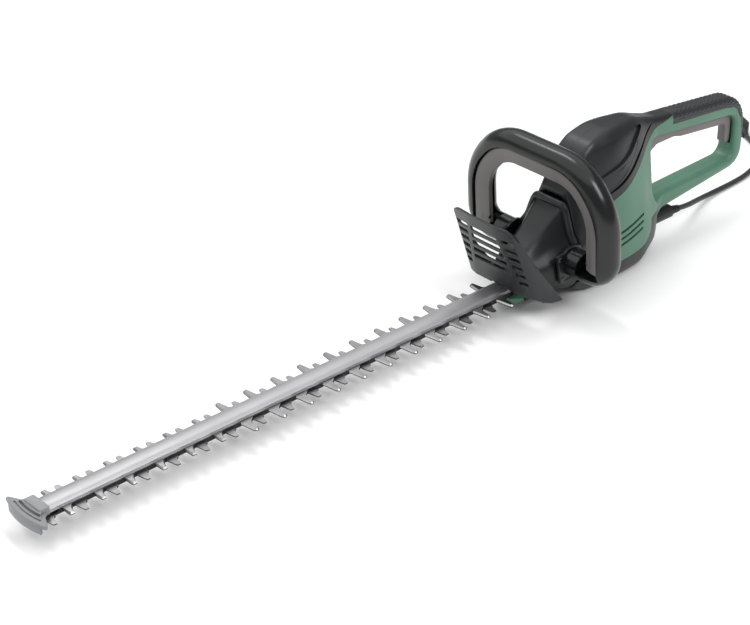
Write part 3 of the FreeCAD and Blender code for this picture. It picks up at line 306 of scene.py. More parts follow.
# ---- mesh helpers --------------------------------------------------------------------------------
def new_piece(name, verts, faces):
    mesh = bpy.data.meshes.new(name)
    mesh.from_pydata([tuple(v) for v in verts], [], faces)
    mesh.validate()
    piece = bpy.data.objects.new(name, mesh)
    bpy.context.scene.collection.objects.link(piece)
    return piece


def sweep(name, rings):
    """Skin over rings of equally many points, with a flat cap at each end."""
    n = len(rings[0])
    verts = [p for ring in rings for p in ring]
    faces = []
    for i in range(len(rings) - 1):
        j = i + 1
        for k in range(n):
            m = (k + 1) % n
            faces.append((i * n + k, j * n + k, j * n + m, i * n + m))
    faces.append(tuple(reversed(range(n))))
    faces.append(tuple((len(rings) - 1) * n + k for k in range(n)))
    piece = new_piece(name, verts, faces)
    outward(piece)
    return piece


def outward(piece):
    """Turns a closed skin's faces outwards."""
    bm = bmesh_of(piece.data)
    bmesh.ops.remove_doubles(bm, verts=bm.verts, dist=MERGE_WITHIN)
    bmesh.ops.recalc_face_normals(bm, faces=bm.faces)
    bm.to_mesh(piece.data)
    bm.free()


def bmesh_of(mesh):
    bm = bmesh.new()
    bm.from_mesh(mesh)
    return bm


def baked(piece):
    """Turns the piece's modifiers into plain mesh."""
    shown = piece.evaluated_get(bpy.context.evaluated_depsgraph_get())
    mesh = bpy.data.meshes.new_from_object(shown)
    piece.modifiers.clear()
    old = piece.data
    piece.data = mesh
    bpy.data.meshes.remove(old)
    return piece


def boolean(piece, cutter, operation):
    step = piece.modifiers.new("cut", "BOOLEAN")
    step.operation = operation
    step.solver = "MANIFOLD"
    step.object = cutter
    baked(piece)
    bpy.data.objects.remove(cutter)
    return piece


def cut(piece, *cutters):
    for cutter in cutters:
        boolean(piece, cutter, "DIFFERENCE")
    return piece


def keep(piece, cutter):
    return boolean(piece, cutter, "INTERSECT")


def join_shapes(piece, *others):
    for other in others:
        boolean(piece, other, "UNION")
    return piece


def copy_of(piece, name):
    twin = bpy.data.objects.new(name, piece.data.copy())
    bpy.context.scene.collection.objects.link(twin)
    return twin


def bevelled(piece, width, segments=2, angle=35.0):
    step = piece.modifiers.new("bevel", "BEVEL")
    step.width = width * MM
    step.segments = segments
    step.limit_method = "ANGLE"
    step.angle_limit = math.radians(angle)
    step.harden_normals = False
    return baked(piece)


def softened(piece, angle=32.0):
    """Smooth shading that keeps its sharp edges."""
    mesh = piece.data
    mesh.polygons.foreach_set("use_smooth", [True] * len(mesh.polygons))
    mesh.set_sharp_from_angle(angle=math.radians(angle))
    return piece


def done(piece, slot, body, *nodes, angle=32.0):
    """Gives a finished piece its material and its body, and hides the nodes that it stands for."""
    softened(piece, angle)
    piece.data.materials.clear()
    piece.data.materials.append(FINISH[slot])
    if nodes:
        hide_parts(*nodes)
    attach(piece, body)
    return piece


def round_outline(points, radii, steps=6):
    """A flat outline with each corner turned into an arc."""
    out = []
    n = len(points)
    for i in range(n):
        a, p, b = (Vector(points[j % n]) for j in (i - 1, i, i + 1))
        r = radii[i] if isinstance(radii, (list, tuple)) else radii
        if r <= 0:
            out.append(p)
            continue
        u = (a - p).normalized()
        v = (b - p).normalized()
        half = u.angle(v) / 2.0
        reach = r / math.tan(half)
        centre = p + (u + v).normalized() * (r / math.sin(half))
        first = p + u * reach - centre
        last = p + v * reach - centre
        start = math.atan2(first.y, first.x)
        turn = (math.atan2(last.y, last.x) - start + math.pi) % (2.0 * math.pi) - math.pi
        for k in range(steps + 1):
            a = start + turn * k / steps
            out.append(centre + Vector((math.cos(a), math.sin(a))) * r)
    return out


def prism(name, outline, axis, low, high):
    """Closed prism: the outline lies across the named axis, in millimetres, in X, Y, Z order."""
    place = {"x": lambda a, b, h: (h, a, b), "y": lambda a, b, h: (a, h, b), "z": lambda a, b,
             h: (a, b, h)}[axis]
    rings = [[mm(*place(p[0], p[1], h)) for p in outline] for h in (low, high)]
    return sweep(name, rings)


def block(name, x0, x1, y0, y1, z0, z1):
    return prism(name, [(x0, y0), (x1, y0), (x1, y1), (x0, y1)], "z", z0, z1)


def smooth_rows(xs, rows, at):
    """Monotone cubic through rows of values given at xs, read at other places."""
    xs = np.array(xs, float)
    rows = np.array(rows, float)
    flat = rows.reshape(len(xs), -1)
    slopes = np.diff(flat, axis=0) / np.diff(xs)[:, None]
    tangent = np.zeros_like(flat)
    tangent[0], tangent[-1] = slopes[0], slopes[-1]
    for i in range(1, len(xs) - 1):
        a, b = slopes[i - 1], slopes[i]
        same = a * b > 0
        with np.errstate(divide="ignore", invalid="ignore"):
            tangent[i] = np.where(same, 2.0 * a * b / (a + b), 0.0)
    out = []
    for x in at:
        i = int(np.clip(np.searchsorted(xs, x) - 1, 0, len(xs) - 2))
        h = xs[i + 1] - xs[i]
        t = (x - xs[i]) / h
        value = ((2 * t**3 - 3 * t**2 + 1) * flat[i] + (t**3 - 2 * t**2 + t) * h * tangent[i]
                 + (-2 * t**3 + 3 * t**2) * flat[i + 1] + (t**3 - t**2) * h * tangent[i + 1])
        out.append(value.reshape(rows.shape[1:]))
    return np.array(out)


# ---- repeats by geometry nodes -------------------------------------------------------------------
def row_tree():
    """Node tree: copies of one object at even steps along X, the first at Start, with one material."""
    tree = bpy.data.node_groups.new("row", "GeometryNodeTree")
    face = tree.interface
    face.new_socket("Geometry", in_out="INPUT", socket_type="NodeSocketGeometry")
    face.new_socket("Unit", in_out="INPUT", socket_type="NodeSocketObject")
    face.new_socket("Count", in_out="INPUT", socket_type="NodeSocketInt")
    face.new_socket("Start", in_out="INPUT", socket_type="NodeSocketVector")
    face.new_socket("Step", in_out="INPUT", socket_type="NodeSocketVector")
    face.new_socket("Material", in_out="INPUT", socket_type="NodeSocketMaterial")
    face.new_socket("Geometry", in_out="OUTPUT", socket_type="NodeSocketGeometry")
    new = tree.nodes.new
    given, out = new("NodeGroupInput"), new("NodeGroupOutput")
    line, unit = new("GeometryNodeMeshLine"), new("GeometryNodeObjectInfo")
    place, real = new("GeometryNodeInstanceOnPoints"), new("GeometryNodeRealizeInstances")
    paint = new("GeometryNodeSetMaterial")
    wire = tree.links.new
    wire(given.outputs["Unit"], unit.inputs["Object"])
    wire(given.outputs["Count"], line.inputs["Count"])
    wire(given.outputs["Start"], line.inputs["Start Location"])
    wire(given.outputs["Step"], line.inputs["Offset"])
    wire(line.outputs["Mesh"], place.inputs["Points"])
    wire(unit.outputs["Geometry"], place.inputs["Instance"])
    wire(place.outputs["Instances"], real.inputs["Geometry"])
    wire(real.outputs["Geometry"], paint.inputs["Geometry"])
    wire(given.outputs["Material"], paint.inputs["Material"])
    wire(paint.outputs["Geometry"], out.inputs["Geometry"])
    return tree


ROW = row_tree()


def row_of(name, unit, count, start, step, slot):
    """A piece made of count copies of unit, the first at start and each one step further."""
    piece = new_piece(name, [], [])
    maker = piece.modifiers.new("row", "NODES")
    maker.node_group = ROW
    wanted = {"Unit": unit, "Count": count, "Start": tuple(start), "Step": tuple(step),
              "Material": FINISH[slot]}
    for item in ROW.interface.items_tree:
        if item.in_out == "INPUT" and item.name in wanted:
            maker[item.identifier] = wanted[item.name]
    baked(piece)
    bpy.data.objects.remove(unit)
    return piece


def merged(piece, *others):
    """One piece out of several meshes."""
    bm = bmesh_of(piece.data)
    for other in others:
        bm.from_mesh(other.data)
        bpy.data.objects.remove(other)
    bm.to_mesh(piece.data)
    bm.free()
    return piece


# ---- body ----------------------------------------------------------------------------------------
HEAD_X = 150.0
REAR_X = 571.5
GRIP_FRONT_X = 421.0
OPENING_FRONT_X = 379.0
REAR_BAR = 18.5
STRUT_LOW_Z = 61.0
STRUT_HIGH_Z = 75.0
GRIP_DEPTH = 27.6
HANDLE_HALF = 15.0
HANDLE_ROUND = 8.0
GRIP_THICK = 2.4
GRIP_SIDE = 1.6
WALL = 2.6
SEAM = 0.35
HOOP_X = 203.0
HOOP_Z = 62.0
HOOP_R = 18.0
VOXEL = 1.5
COVER_WALL = 5.5
THROAT_ROUND = 6.0
OPEN_REACH = 10.0

HEAD = [
    (150.0, [(20, 14), (27, 20), (31, 36), (30, 52), (24, 62), (9, 74)]),
    (176.0, [(24, 14), (33, 22), (41, 38), (38, 56), (27, 71), (12, 92)]),
    (207.0, [(26, 13), (39, 21), (49, 44), (46, 68), (34, 88), (17, 119)]),
    (217.0, [(27, 12), (41, 20), (51, 43), (49, 68), (36, 92), (20, 126)]),
    (222.0, [(26, 14), (39, 22), (49.5, 45), (48, 68), (35, 91), (16, 124)]),
]
BODY = [
    (218.0, [(28, 10), (42, 18), (52, 46), (51, 68), (37, 94), (25, 124), (18, 136)]),
    (234.0, [(32, 4), (45, 15), (52, 48), (51, 72), (41, 104), (29, 142), (17, 166)]),
    (248.0, [(35, 1), (47, 14), (52, 50), (50, 78), (42, 112), (31, 155), (17, 184)]),
    (264.0, [(36, 0), (47, 14), (52, 50), (50, 85), (42, 125), (31, 168), (17, 193)]),
    (295.0, [(36, 0), (47, 14), (52, 50), (49, 92), (40, 147), (29, 186), (14, 199)]),
    (340.0, [(33, 0), (43, 12), (47, 50), (41, 95), (31, 150), (21, 189), (9, 197)]),
    (368.0, [(28, 9), (35, 20), (38, 52), (30, 95), (22, 150), (16, 181), (8, 189)]),
    (384.0, [(22, 16), (29, 27), (30, 56), (24, 95), (18, 150), (14, 178), (8, 184)]),
    (396.0, [(13, 30), (17, 38), (19, 58), (17, 95), (15, 150), (13, 175), (8, 181)]),
    (416.0, [(9, 47), (12, 50), (13.5, 62), (14, 95), (14, 150), (12, 172), (7, 177)]),
]
GREEN_LINE = [(210, 97), (240, 104), (272, 114), (299, 122), (326, 133), (352, 149), (372, 163), (386, 170),
              (421, 176)]
WALL_TOP = [(238, 168), (249, 177), (262, 183), (285, 186), (310, 188), (330, 190), (352, 188)]
WALL_LOW = [(236, 140), (252, 144), (275, 150), (300, 156), (322, 163), (338, 174), (352, 184)]
LEAF = [(262, 131), (262, 139), (272, 146), (292, 150), (312, 156), (326, 166), (334, 173), (339, 172),
        (335, 164),
        (324, 154), (306, 143), (286, 134), (270, 129), (262, 131)]
BASE_LINE = [(200, 24), (291, 27), (333, 28), (352, 34), (361, 46), (362, 60), (393, 63)]


def grip_z(x):
    return 182.0 - (x - 390.0) * 0.113


def section(points, inset, count):
    """Closed ring of (half, z) points, smooth from the sole over the side to the crown."""
    low, high = points[0][1], points[-1][1]
    middle = (low + high) / 2.0
    moved = [(max(w - inset, 1.0), z + inset * (middle - z) / (high - low) * 2.0) for w, z in points]
    moved = [(0.0, moved[0][1])] + moved + [(0.0, moved[-1][1])]
    along = [0.0]
    for a, b in zip(moved, moved[1:]):
        along.append(along[-1] + max(math.dist(a, b), 0.1))
    return smooth_rows(along, moved, np.linspace(0.0, along[-1], count))


def loft(name, stations, inset=0.0, step=3.0, count=56):
    xs = [s[0] for s in stations]
    rows = [section(s[1], inset, count) for s in stations]
    at = np.linspace(xs[0], xs[-1], int((xs[-1] - xs[0]) / step) + 2)
    rings = []
    for x, row in zip(at, smooth_rows(xs, rows, at)):
        right = [mm(x, w, z) for w, z in row]
        left = [mm(x, -w, z) for w, z in row[-2:0:-1]]
        rings.append(right + left)
    return sweep(name, rings)


def handle_outline(inset):
    points = [(375.0, grip_z(375.0) - inset), (REAR_X - inset, grip_z(REAR_X) - inset),
              (REAR_X - inset, STRUT_LOW_Z + inset), (375.0, 42.0 + inset)]
    return round_outline(points, [0, 44.0 - inset, 28.0 - inset, 0], 16)


def opening_outline(inset):
    rear = REAR_X - REAR_BAR + inset
    points = [(OPENING_FRONT_X - inset, grip_z(OPENING_FRONT_X) - GRIP_DEPTH + inset),
              (rear, grip_z(rear) - GRIP_DEPTH + inset), (rear, STRUT_HIGH_Z - inset),
              (OPENING_FRONT_X - inset, STRUT_HIGH_Z - 4.0 - inset)]
    return round_outline(points, [14.0 + inset, 18.0 + inset, 14.0 + inset, 22.0 + inset], 12)


def pillow(name, outline, half, round_r, flare=False):
    """Slab across the tool whose two rims are rounded; outline(inset) gives its edge."""
    layers = []
    for k in range(7):
        a = math.pi / 2.0 * k / 6.0
        layers.append((half - round_r + round_r * math.sin(a), round_r * (1.0 - math.cos(a))))
    if flare:
        layers.append((half + 30.0, round_r + 0.5))
    both = [(-y, d) for y, d in reversed(layers)] + layers
    return sweep(name, [[mm(p[0], y, p[1]) for p in outline(d)] for y, d in both])


def remeshed(piece, voxel, passes):
    """Even mesh of the piece with its hard edges eased."""
    step = piece.modifiers.new("even", "REMESH")
    step.mode = "VOXEL"
    step.voxel_size = voxel * MM
    ease = piece.modifiers.new("ease", "SMOOTH")
    ease.factor = 0.5
    ease.iterations = passes
    return baked(piece)


def offset_line(line, d):
    """The line moved sideways by d, to its upper side for positive d."""
    out = []
    for i, p in enumerate(line):
        a = Vector(line[max(i - 1, 0)])
        b = Vector(line[min(i + 1, len(line) - 1)])
        run = (b - a).normalized()
        out.append((p[0] - run.y * d, p[1] + run.x * d))
    return out


def smooth_line(line, step=4.0):
    along = [0.0]
    for a, b in zip(line, line[1:]):
        along.append(along[-1] + math.dist(a, b))
    return [tuple(p) for p in smooth_rows(along, line, np.linspace(0, along[-1], int(along[-1] / step) + 2))]


def beside(name, line, far_z, half=95.0):
    """Prism across the tool between the line and the height far_z."""
    outline = list(line) + [(line[-1][0], far_z), (line[0][0], far_z)]
    return prism(name, outline, "y", -half, half)


def open_front(stations):
    """The stations with one more ahead of them, so that a hollow runs out through the front face."""
    return [(stations[0][0] - OPEN_REACH, stations[0][1])] + stations


def whole_body():
    body = loft("body", BODY)
    join_shapes(body, pillow("slab", handle_outline, HANDLE_HALF, HANDLE_ROUND))
    cut(body, pillow("hand", opening_outline, HANDLE_HALF, THROAT_ROUND, flare=True))
    return remeshed(body, VOXEL, 6)


def hollow():
    core = loft("hollow", open_front(BODY[:-1]), WALL)
    cut(core, prism("throat", opening_outline(WALL + THROAT_ROUND), "y", -80, 80))
    inner = prism("cavity", handle_outline(GRIP_THICK + WALL), "y", -11.2, 11.2)
    cut(inner, prism("ring", opening_outline(WALL), "y", -20, 20))
    return join_shapes(core, inner)


def lever_room():
    x0, x1, half, roof = OPENING_FRONT_X - 6.0, REAR_X - REAR_BAR + 4.0, 7.3, GRIP_DEPTH - 10.0
    slot = prism("slot", [(x0, 100.0), (x1, 100.0), (x1, grip_z(x1) - roof), (x0, grip_z(x0) - roof)],
                 "y", -half, half)
    return join_shapes(slot, block("tail", x1 - 14.0, x1, -half, half, 92.0, 110.0))


def tube_y(name, r, y0, y1, x, z, count=64):
    ring = [(x + r * math.cos(2 * math.pi * k / count), z + r * math.sin(2 * math.pi * k / count))
            for k in range(count)]
    return prism(name, ring, "y", y0, y1)


def grip_low_line():
    return [(GRIP_FRONT_X, grip_z(GRIP_FRONT_X) - 14.0), (525.0, grip_z(525.0) - 13.0),
            (548.0, grip_z(548.0) - 15.0), (562.0, 128.0), (566.0, 100.0), (567.0, 62.0)]


def grip_room():
    line = grip_low_line()
    outline = [(line[0][0] - SEAM, line[0][1] - SEAM)] + line[1:] + [(600.0, 62.0), (600.0, 240.0),
                                                                    (line[0][0] - SEAM, 240.0)]
    room = prism("grip_room", outline, "y", -95, 95)

    def core_outline(inset):
        return handle_outline(GRIP_THICK + inset)

    return cut(room, pillow("grip_core", core_outline, HANDLE_HALF - GRIP_SIDE, HANDLE_ROUND - GRIP_SIDE))


def vent_slots():
    """Three slanted slots, as cutters for one flank each."""
    cutters = []
    for side in (-1, 1):
        for i in range(3):
            z = 72.0 - 8.5 * i
            half = 28.0 - 2.0 * i
            turn = math.radians(9.0)
            ends = [(-half, -1.9), (half, -1.9), (half + 3.0, 1.9), (-half + 3.0, 1.9)]
            outline = [(312.0 + a * math.cos(turn) - b * math.sin(turn),
                        z + a * math.sin(turn) + b * math.cos(turn))
                       for a, b in ends]
            outline = round_outline(outline, 1.6, 4)
            cutters.append(prism("vent", outline, "y", min(side * 30, side * 60), max(side * 30, side * 60)))
    return cutters


def crescents():
    cutters = []
    line = smooth_line(GREEN_LINE[2:8], 3.0)
    n = len(line)
    top, low = [], []
    for i, (p, q) in enumerate(zip(offset_line(line, 13.5), offset_line(line, 9.0))):
        t = math.sin(math.pi * i / (n - 1)) ** 0.5
        mid = ((p[0] + q[0]) / 2.0, (p[1] + q[1]) / 2.0)
        top.append((mid[0] + (p[0] - mid[0]) * t, mid[1] + (p[1] - mid[1]) * t + 0.3))
        low.append((mid[0] + (q[0] - mid[0]) * t, mid[1] + (q[1] - mid[1]) * t - 0.3))
    outline = top + low[::-1]
    for side in (-1, 1):
        cutters.append(prism("crescent", outline, "y", min(side * 14, side * 60), max(side * 14, side * 60)))
    return cutters


def sunk(piece, skin_of, region, depth):
    """Lowers the part of the piece's face that lies in the region."""
    core = copy_of(skin_of, "core")
    move = core.modifiers.new("sink", "DISPLACE")
    move.strength = -depth * MM
    move.mid_level = 0.0
    cut(region, baked(core))
    return cut(piece, region)


def ring_region(name, outline, wide, half=95.0):
    """Band of a given width inside an outline, right across the tool."""
    n = len(outline)
    centre = Vector((sum(p[0] for p in outline) / n, sum(p[1] for p in outline) / n))
    inner = []
    for p in outline:
        arm = Vector(p) - centre
        inner.append(tuple(centre + arm * (1.0 - wide / max(arm.length, 1.0))))
    return cut(prism(name, outline, "y", -half, half), prism(name, inner, "y", -half - 1, half + 1))


def dome_details(cover, outer):
    """Lowered wall under the crown's rim and the outline of the flank's leaf-shaped panel."""
    wall = smooth_line(WALL_TOP, 3.0) + smooth_line(WALL_LOW, 3.0)[::-1]
    sunk(cover, outer, prism("wall", wall, "y", -95, 95), 3.4)
    leaf = smooth_line(LEAF, 3.0)
    sunk(cover, outer, ring_region("leaf", leaf, 1.3), 1.0)


def body_pieces():
    outer = whole_body()
    inner = hollow()
    base_low = smooth_line(BASE_LINE, 3.0)
    green = smooth_line(GREEN_LINE, 4.0)
    base = copy_of(outer, "base")
    keep(base, beside("under", offset_line(base_low, -SEAM), -10.0))
    join_shapes(base, boss_of_outlet())
    cut(base, copy_of(inner, "inner"), relief_room())
    rest = copy_of(outer, "rest")
    cut(rest, beside("under", offset_line(base_low, SEAM), -10.0), lever_room(), boss_of_outlet(0.3))
    for side in (-1, 1):
        cut(rest, tube_y("stub", HOOP_R + 2.5, min(side * 46, side * 70), max(side * 46, side * 70), HOOP_X,
                         HOOP_Z))
    cover = copy_of(rest, "cover")
    front = prism("front", [(190, 28), (236, 28), (236, 240), (190, 240)], "y", -95, 95)
    keep(cover, join_shapes(beside("over", offset_line(green, SEAM), 240.0), front))
    cut(cover, loft("deep", open_front(BODY[:-1]), COVER_WALL))
    dome_details(cover, outer)
    for region in crescents():
        sunk(cover, outer, region, 3.2)
    shells = cut(rest, copy_of(inner, "inner"))
    cut(shells, beside("over", offset_line(green, -SEAM), 240.0),
        prism("front", [(190, 0), (236.6, 0), (236.6, 240), (190, 240)], "y", -95, 95), grip_room(),
        *vent_slots())
    for name, source, slot, nodes in (("shell", shells, "green_plastic", ("shell_left", "shell_right")),
                                      ("motor_cover", cover, "cover_plastic",
                                       ("motor_cover_left", "motor_cover_right"))):
        for side, node in zip((-1, 1), nodes):
            half = copy_of(source, name + ("_near" if side < 0 else "_far"))
            keep(half, block("half", 100, 640, min(side * 0.12, side * 95), max(side * 0.12, side * 95), -5,
                             240))
            done(half, slot, "root", node, angle=40.0)
    for spare in (shells, cover, outer, inner):
        bpy.data.objects.remove(spare)
    base.name = "base_tray"
    done(base, "black_plastic", "root", "base_shoe", angle=40.0)


# ---- lead, its sleeve and plug -------------------------------------------------------------------
CORD_D = 7.0
RELIEF_LONG = 30.0
ROUTE = [(464.0, 0.3, 24.0), (487.5, 3.8, 18.4), (514.5, 12.4, 12.2), (546.0, 20.4, 5.8), (579.0, 23.0, 3.6),
         (612.0, 23.6, 3.6), (645.0, 26.8, 3.6), (680.0, 38.0, 3.6), (712.0, 58.0, 3.6), (730.0, 84.0, 3.6),
         (741.0, 106.0, 3.6)]


def relief_frame():
    start = mm(*ROUTE[0])
    along = (mm(*ROUTE[1]) - start).normalized()
    return start - along * RELIEF_LONG * MM, along


def ring_at(centre, side, other, r, count):
    """Circle of points round the centre in the plane of side and other."""
    turns = [2 * math.pi * k / count for k in range(count)]
    return [centre + (side * math.cos(a) + other * math.sin(a)) * r * MM for a in turns]


def lathe(name, profile, origin, along, count=48):
    """Turned piece: profile is (distance along, radius) in millimetres."""
    side = along.orthogonal().normalized()
    other = along.cross(side)
    rings = []
    for a, r in profile:
        rings.append(ring_at(origin + along * a * MM, side, other, max(r, 0.02), count))
    return sweep(name, rings)


def boss_of_outlet(grow=0.0):
    back, along = relief_frame()
    x = back.x / MM
    y, z = back.y / MM, back.z / MM
    ring = [(y + (9.0 + grow) * math.cos(2 * math.pi * k / 48),
             z + (9.0 + grow) * math.sin(2 * math.pi * k / 48))
            for k in range(48)]
    return prism("boss", ring, "x", 384.0, x + 4.0 + grow)


def relief_room():
    back, along = relief_frame()
    return lathe("relief_room", [(-2.1, 8.0), (4.1, 8.0), (4.2, 6.8), (12.0, 6.6)], back, along)


def relief():
    back, along = relief_frame()
    profile = [(-2.0, 7.4), (-1.5, 7.9), (3.4, 7.9), (4.0, 7.4), (4.1, 6.4)]
    count = 5
    for i in range(count):
        a = 6.0 + 4.8 * i
        shrink = 6.7 - 2.1 * (a / RELIEF_LONG)
        low = max(shrink - 1.3, 3.9)
        profile += [(a - 1.6, low), (a - 0.9, low), (a - 0.5, shrink - 0.1), (a, shrink),
                    (a + 1.8, shrink - 0.1), (a + 2.2, low)]
    profile += [(29.0, 4.5), (30.0, 4.0)]
    piece = lathe("lead_sleeve", profile, back, along, 56)
    return done(piece, "black_plastic", "root", "strain_relief", angle=50.0)


def lead():
    curve = bpy.data.curves.new("lead", "CURVE")
    curve.dimensions = "3D"
    curve.bevel_depth = CORD_D / 2.0 * MM
    curve.bevel_resolution = 8
    curve.resolution_u = 24
    curve.render_resolution_u = 24
    curve.use_fill_caps = True
    line = curve.splines.new("NURBS")
    line.points.add(len(ROUTE) - 1)
    for point, place in zip(line.points, ROUTE):
        point.co = (*mm(*place), 1.0)
    line.order_u = 3
    line.use_endpoint_u = True
    piece = bpy.data.objects.new("lead", curve)
    bpy.context.scene.collection.objects.link(piece)
    curve.materials.append(FINISH["cord_rubber"])
    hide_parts("cord")
    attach(piece, "root")
    return piece


def plug():
    end = mm(*ROUTE[-1])
    along = end - mm(*ROUTE[-2])
    along.z = 0.0
    along.normalize()
    heading = along.to_track_quat("X", "Z").to_matrix().to_4x4()
    turn = Matrix.Translation(Vector((end.x, end.y, 0.0)) + along * 10.0 * MM) @ heading
    outline = [(0, -9.5), (20, -9.5), (34, -8.2), (34, 8.2), (20, 9.5), (0, 9.5)]
    body = bevelled(prism("plug_body", round_outline(outline, 3.0, 5), "z", 0.0, 19.0), 2.2, 4, 50.0)
    ridge = block("ridge", -0.7, 0.7, -12, 12, -1.0, 20.0)
    grooves = row_of("grooves", ridge, 4, mm(6, 0, 0), mm(4.2, 0, 0), "black_plastic")
    waist = prism("waist", round_outline([(2, -8.8), (22, -8.8), (22, 8.8), (2, 8.8)], 2.0, 4), "z", -1.0,
                  20.0)
    cut(grooves, waist)
    cut(body, grooves)
    neck = lathe("neck", [(-10, 4.2), (-9.2, 5.0), (-6, 5.3), (-2, 7.0), (3, 8.0)], mm(0, 0, 5.6),
                 Vector((1, 0, 0.3)).normalized(), 40)
    keep(neck, block("above", -20, 20, -20, 20, 0.05, 18.5))
    pin_profile = [(33, 2.4), (50.5, 2.4), (52.4, 1.9), (53, 1.1)]
    pins = [lathe("pin", pin_profile, mm(0, y, 9.5), Vector((1, 0, 0)), 32) for y in (-6.0, 6.0)]
    for part in [body, neck] + pins:
        part.data.transform(turn)
    steel = merged(*pins)
    steel.name = "plug_pins"
    done(steel, "zinc_steel", "root")
    body = merged(body, neck)
    return done(body, "black_plastic", "root", "plug", angle=40.0), steel


# ---- cutter ----------------------------------------------------------------------------------------
PITCH = 40.0
BLADE_THICK = 2.8
BLADE_Z = 26.0
SPINE_HALF = 13.0
TEETH = 17
SHORT_TEETH = 6
TIP_X = -571.5
UPPER_FIRST = TIP_X + 42.5
LOWER_FIRST = TIP_X + 20.5
TAIL_FROM = HEAD_X - 12.0
BOLT_XS = [HEAD_X - 60.0 - PITCH * 3.5 * i for i in range(5)]


def ground_tooth(name, outline, z0, high, up):
    """Tooth with its cutting edges ground to a slope on its top or underside face."""
    thick = high - z0
    inner = []
    centre = Vector((sum(p[0] for p in outline) / len(outline), sum(p[1] for p in outline) / len(outline)))
    n = len(outline)
    for i, p in enumerate(outline):
        a, b = Vector(outline[i - 1]), Vector(outline[(i + 1) % n])
        run = (b - a).normalized()
        inward = Vector((-run.y, run.x))
        if inward.dot(centre - Vector(p)) < 0:
            inward = -inward
        moved = Vector(p) + inward * 1.5
        inner.append((moved.x, moved.y))
    ground = thick * 0.62
    if up:
        levels = [(outline, z0), (outline, high - ground), (inner, high)]
    else:
        levels = [(inner, z0), (outline, z0 + ground), (outline, high)]
    return sweep(name, [[mm(x, y, z) for x, y in line] for line, z in levels])


def mirrored_y(piece, name):
    twin = copy_of(piece, name)
    twin.data.transform(Matrix.Scale(-1.0, 4, Vector((0, 1, 0))))
    twin.data.flip_normals()
    return twin


def spine(name, front, z0):
    """Long plate of a blade, with its bolt slots, narrowed at the tail."""
    z1 = z0 + BLADE_THICK
    plate = prism(name, round_outline([(front, -SPINE_HALF), (TAIL_FROM + 1, -SPINE_HALF),
                                       (TAIL_FROM + 1, SPINE_HALF),
                                       (front, SPINE_HALF)], [3, 1, 1, 3], 4), "z", z0, z1)
    join_shapes(plate, block("tail", TAIL_FROM - 4, 197.8, -9, 9, z0, z1))
    for x in BOLT_XS:
        slot = round_outline([(x - 14.2, -4.2), (x + 14.2, -4.2), (x + 14.2, 4.2), (x - 14.2, 4.2)], 4.19, 8)
        cut(plate, prism("bolt_slot", slot, "z", z0 - 1, z1 + 1))
    return plate


def mark_painted_shade_faces(piece):
    """Stores which faces of a blade stand upright, as the attribute that its steel reads to paint them with
    painted shade.
    """
    mesh = piece.data
    mark = mesh.attributes.new("upright_painted_shade", "FLOAT", "FACE")
    mark.data.foreach_set("value", [1.0 if abs(face.normal.z) < 0.45 else 0.0 for face in mesh.polygons])


def blade_piece(name, body, node, front, z0, groups, up):
    plate = spine(name, front, z0)
    extra = []
    for outline, first, count in groups:
        near = ground_tooth("tooth", outline, z0, z0 + BLADE_THICK, up)
        far = mirrored_y(near, "tooth_far")
        start, step = mm(first, 0, 0), mm(PITCH, 0, 0)
        extra.append(row_of("teeth", near, count, start, step, "blade_steel"))
        extra.append(row_of("teeth_far", far, count, start, step, "blade_steel"))
    merged(plate, *extra)
    mark_painted_shade_faces(plate)
    return done(plate, "blade_steel", body, node, angle=25.0)


def cutter():
    root = SPINE_HALF - 1.2
    pointed = [(-0.5, root), (0.0, 24.5), (0.6, 27.3), (5.6, 27.5), (6.4, 25.5), (8.0, 20.0), (11.5, 15.0),
               (14.5, root)]
    finger = [(-7.0, root), (-3.4, 15.0), (-1.9, 20.0), (-0.6, 30.0), (0.2, 34.0), (1.6, 35.9), (3.6, 36.5),
              (5.6, 35.8),
              (6.9, 33.8), (7.6, 28.0), (8.8, 20.0), (11.0, 15.2), (15.5, root)]
    lower = [(-3.0, root), (-0.4, 26.0), (0.4, 28.4), (4.6, 28.7), (5.6, 26.6), (7.4, 19.0), (10.5, 14.6),
             (14.0, root)]
    upper_z = BLADE_Z + 0.1
    lower_z = BLADE_Z - 0.1 - BLADE_THICK
    groups = [(pointed, UPPER_FIRST, SHORT_TEETH), (finger, UPPER_FIRST + PITCH * SHORT_TEETH,
                                                    TEETH - SHORT_TEETH)]
    blade_piece("blade_top", "upper_blade", "upper_blade", UPPER_FIRST - 6.0, upper_z, groups, True)
    blade_piece("blade_low", "lower_blade", "lower_blade", LOWER_FIRST - 4.0, lower_z,
                [(lower, LOWER_FIRST, TEETH)], False)


def support_bar():
    low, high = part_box("support_bar")
    half, z0, z1 = high.y / MM, low.z / MM, high.z / MM
    profile = [(-half, z0), (half, z0), (half, z0 + 1.2), (half - 0.7, z0 + 1.6), (half - 0.7, z0 + 2.4),
               (half, z0 + 2.8), (half, z0 + 3.9)]
    for k in range(13):
        t = (6 - k) / 6.0
        profile.append(((half - 0.8) * t, z0 + 4.0 + (z1 - z0 - 4.02) * math.sqrt(1.0 - t * t)))
    profile += [(-half, z0 + 3.9), (-half, z0 + 2.8), (-half + 0.7, z0 + 2.4), (-half + 0.7, z0 + 1.6),
                (-half, z0 + 1.2)]
    bar = prism("bar", profile, "x", low.x / MM, high.x / MM)
    for x in BOLT_XS:
        cut(bar, tube_z("bore", 2.7, x, 0.0, z0 - 1, z0 + 5.0))
    return done(bar, "bar_aluminium", "root", "support_bar", angle=30.0)


def tube_z(name, r, x, y, z0, z1, count=40):
    ring = [(x + r * math.cos(2 * math.pi * k / count),
             y + r * math.sin(2 * math.pi * k / count)) for k in range(count)]
    return prism(name, ring, "z", z0, z1)


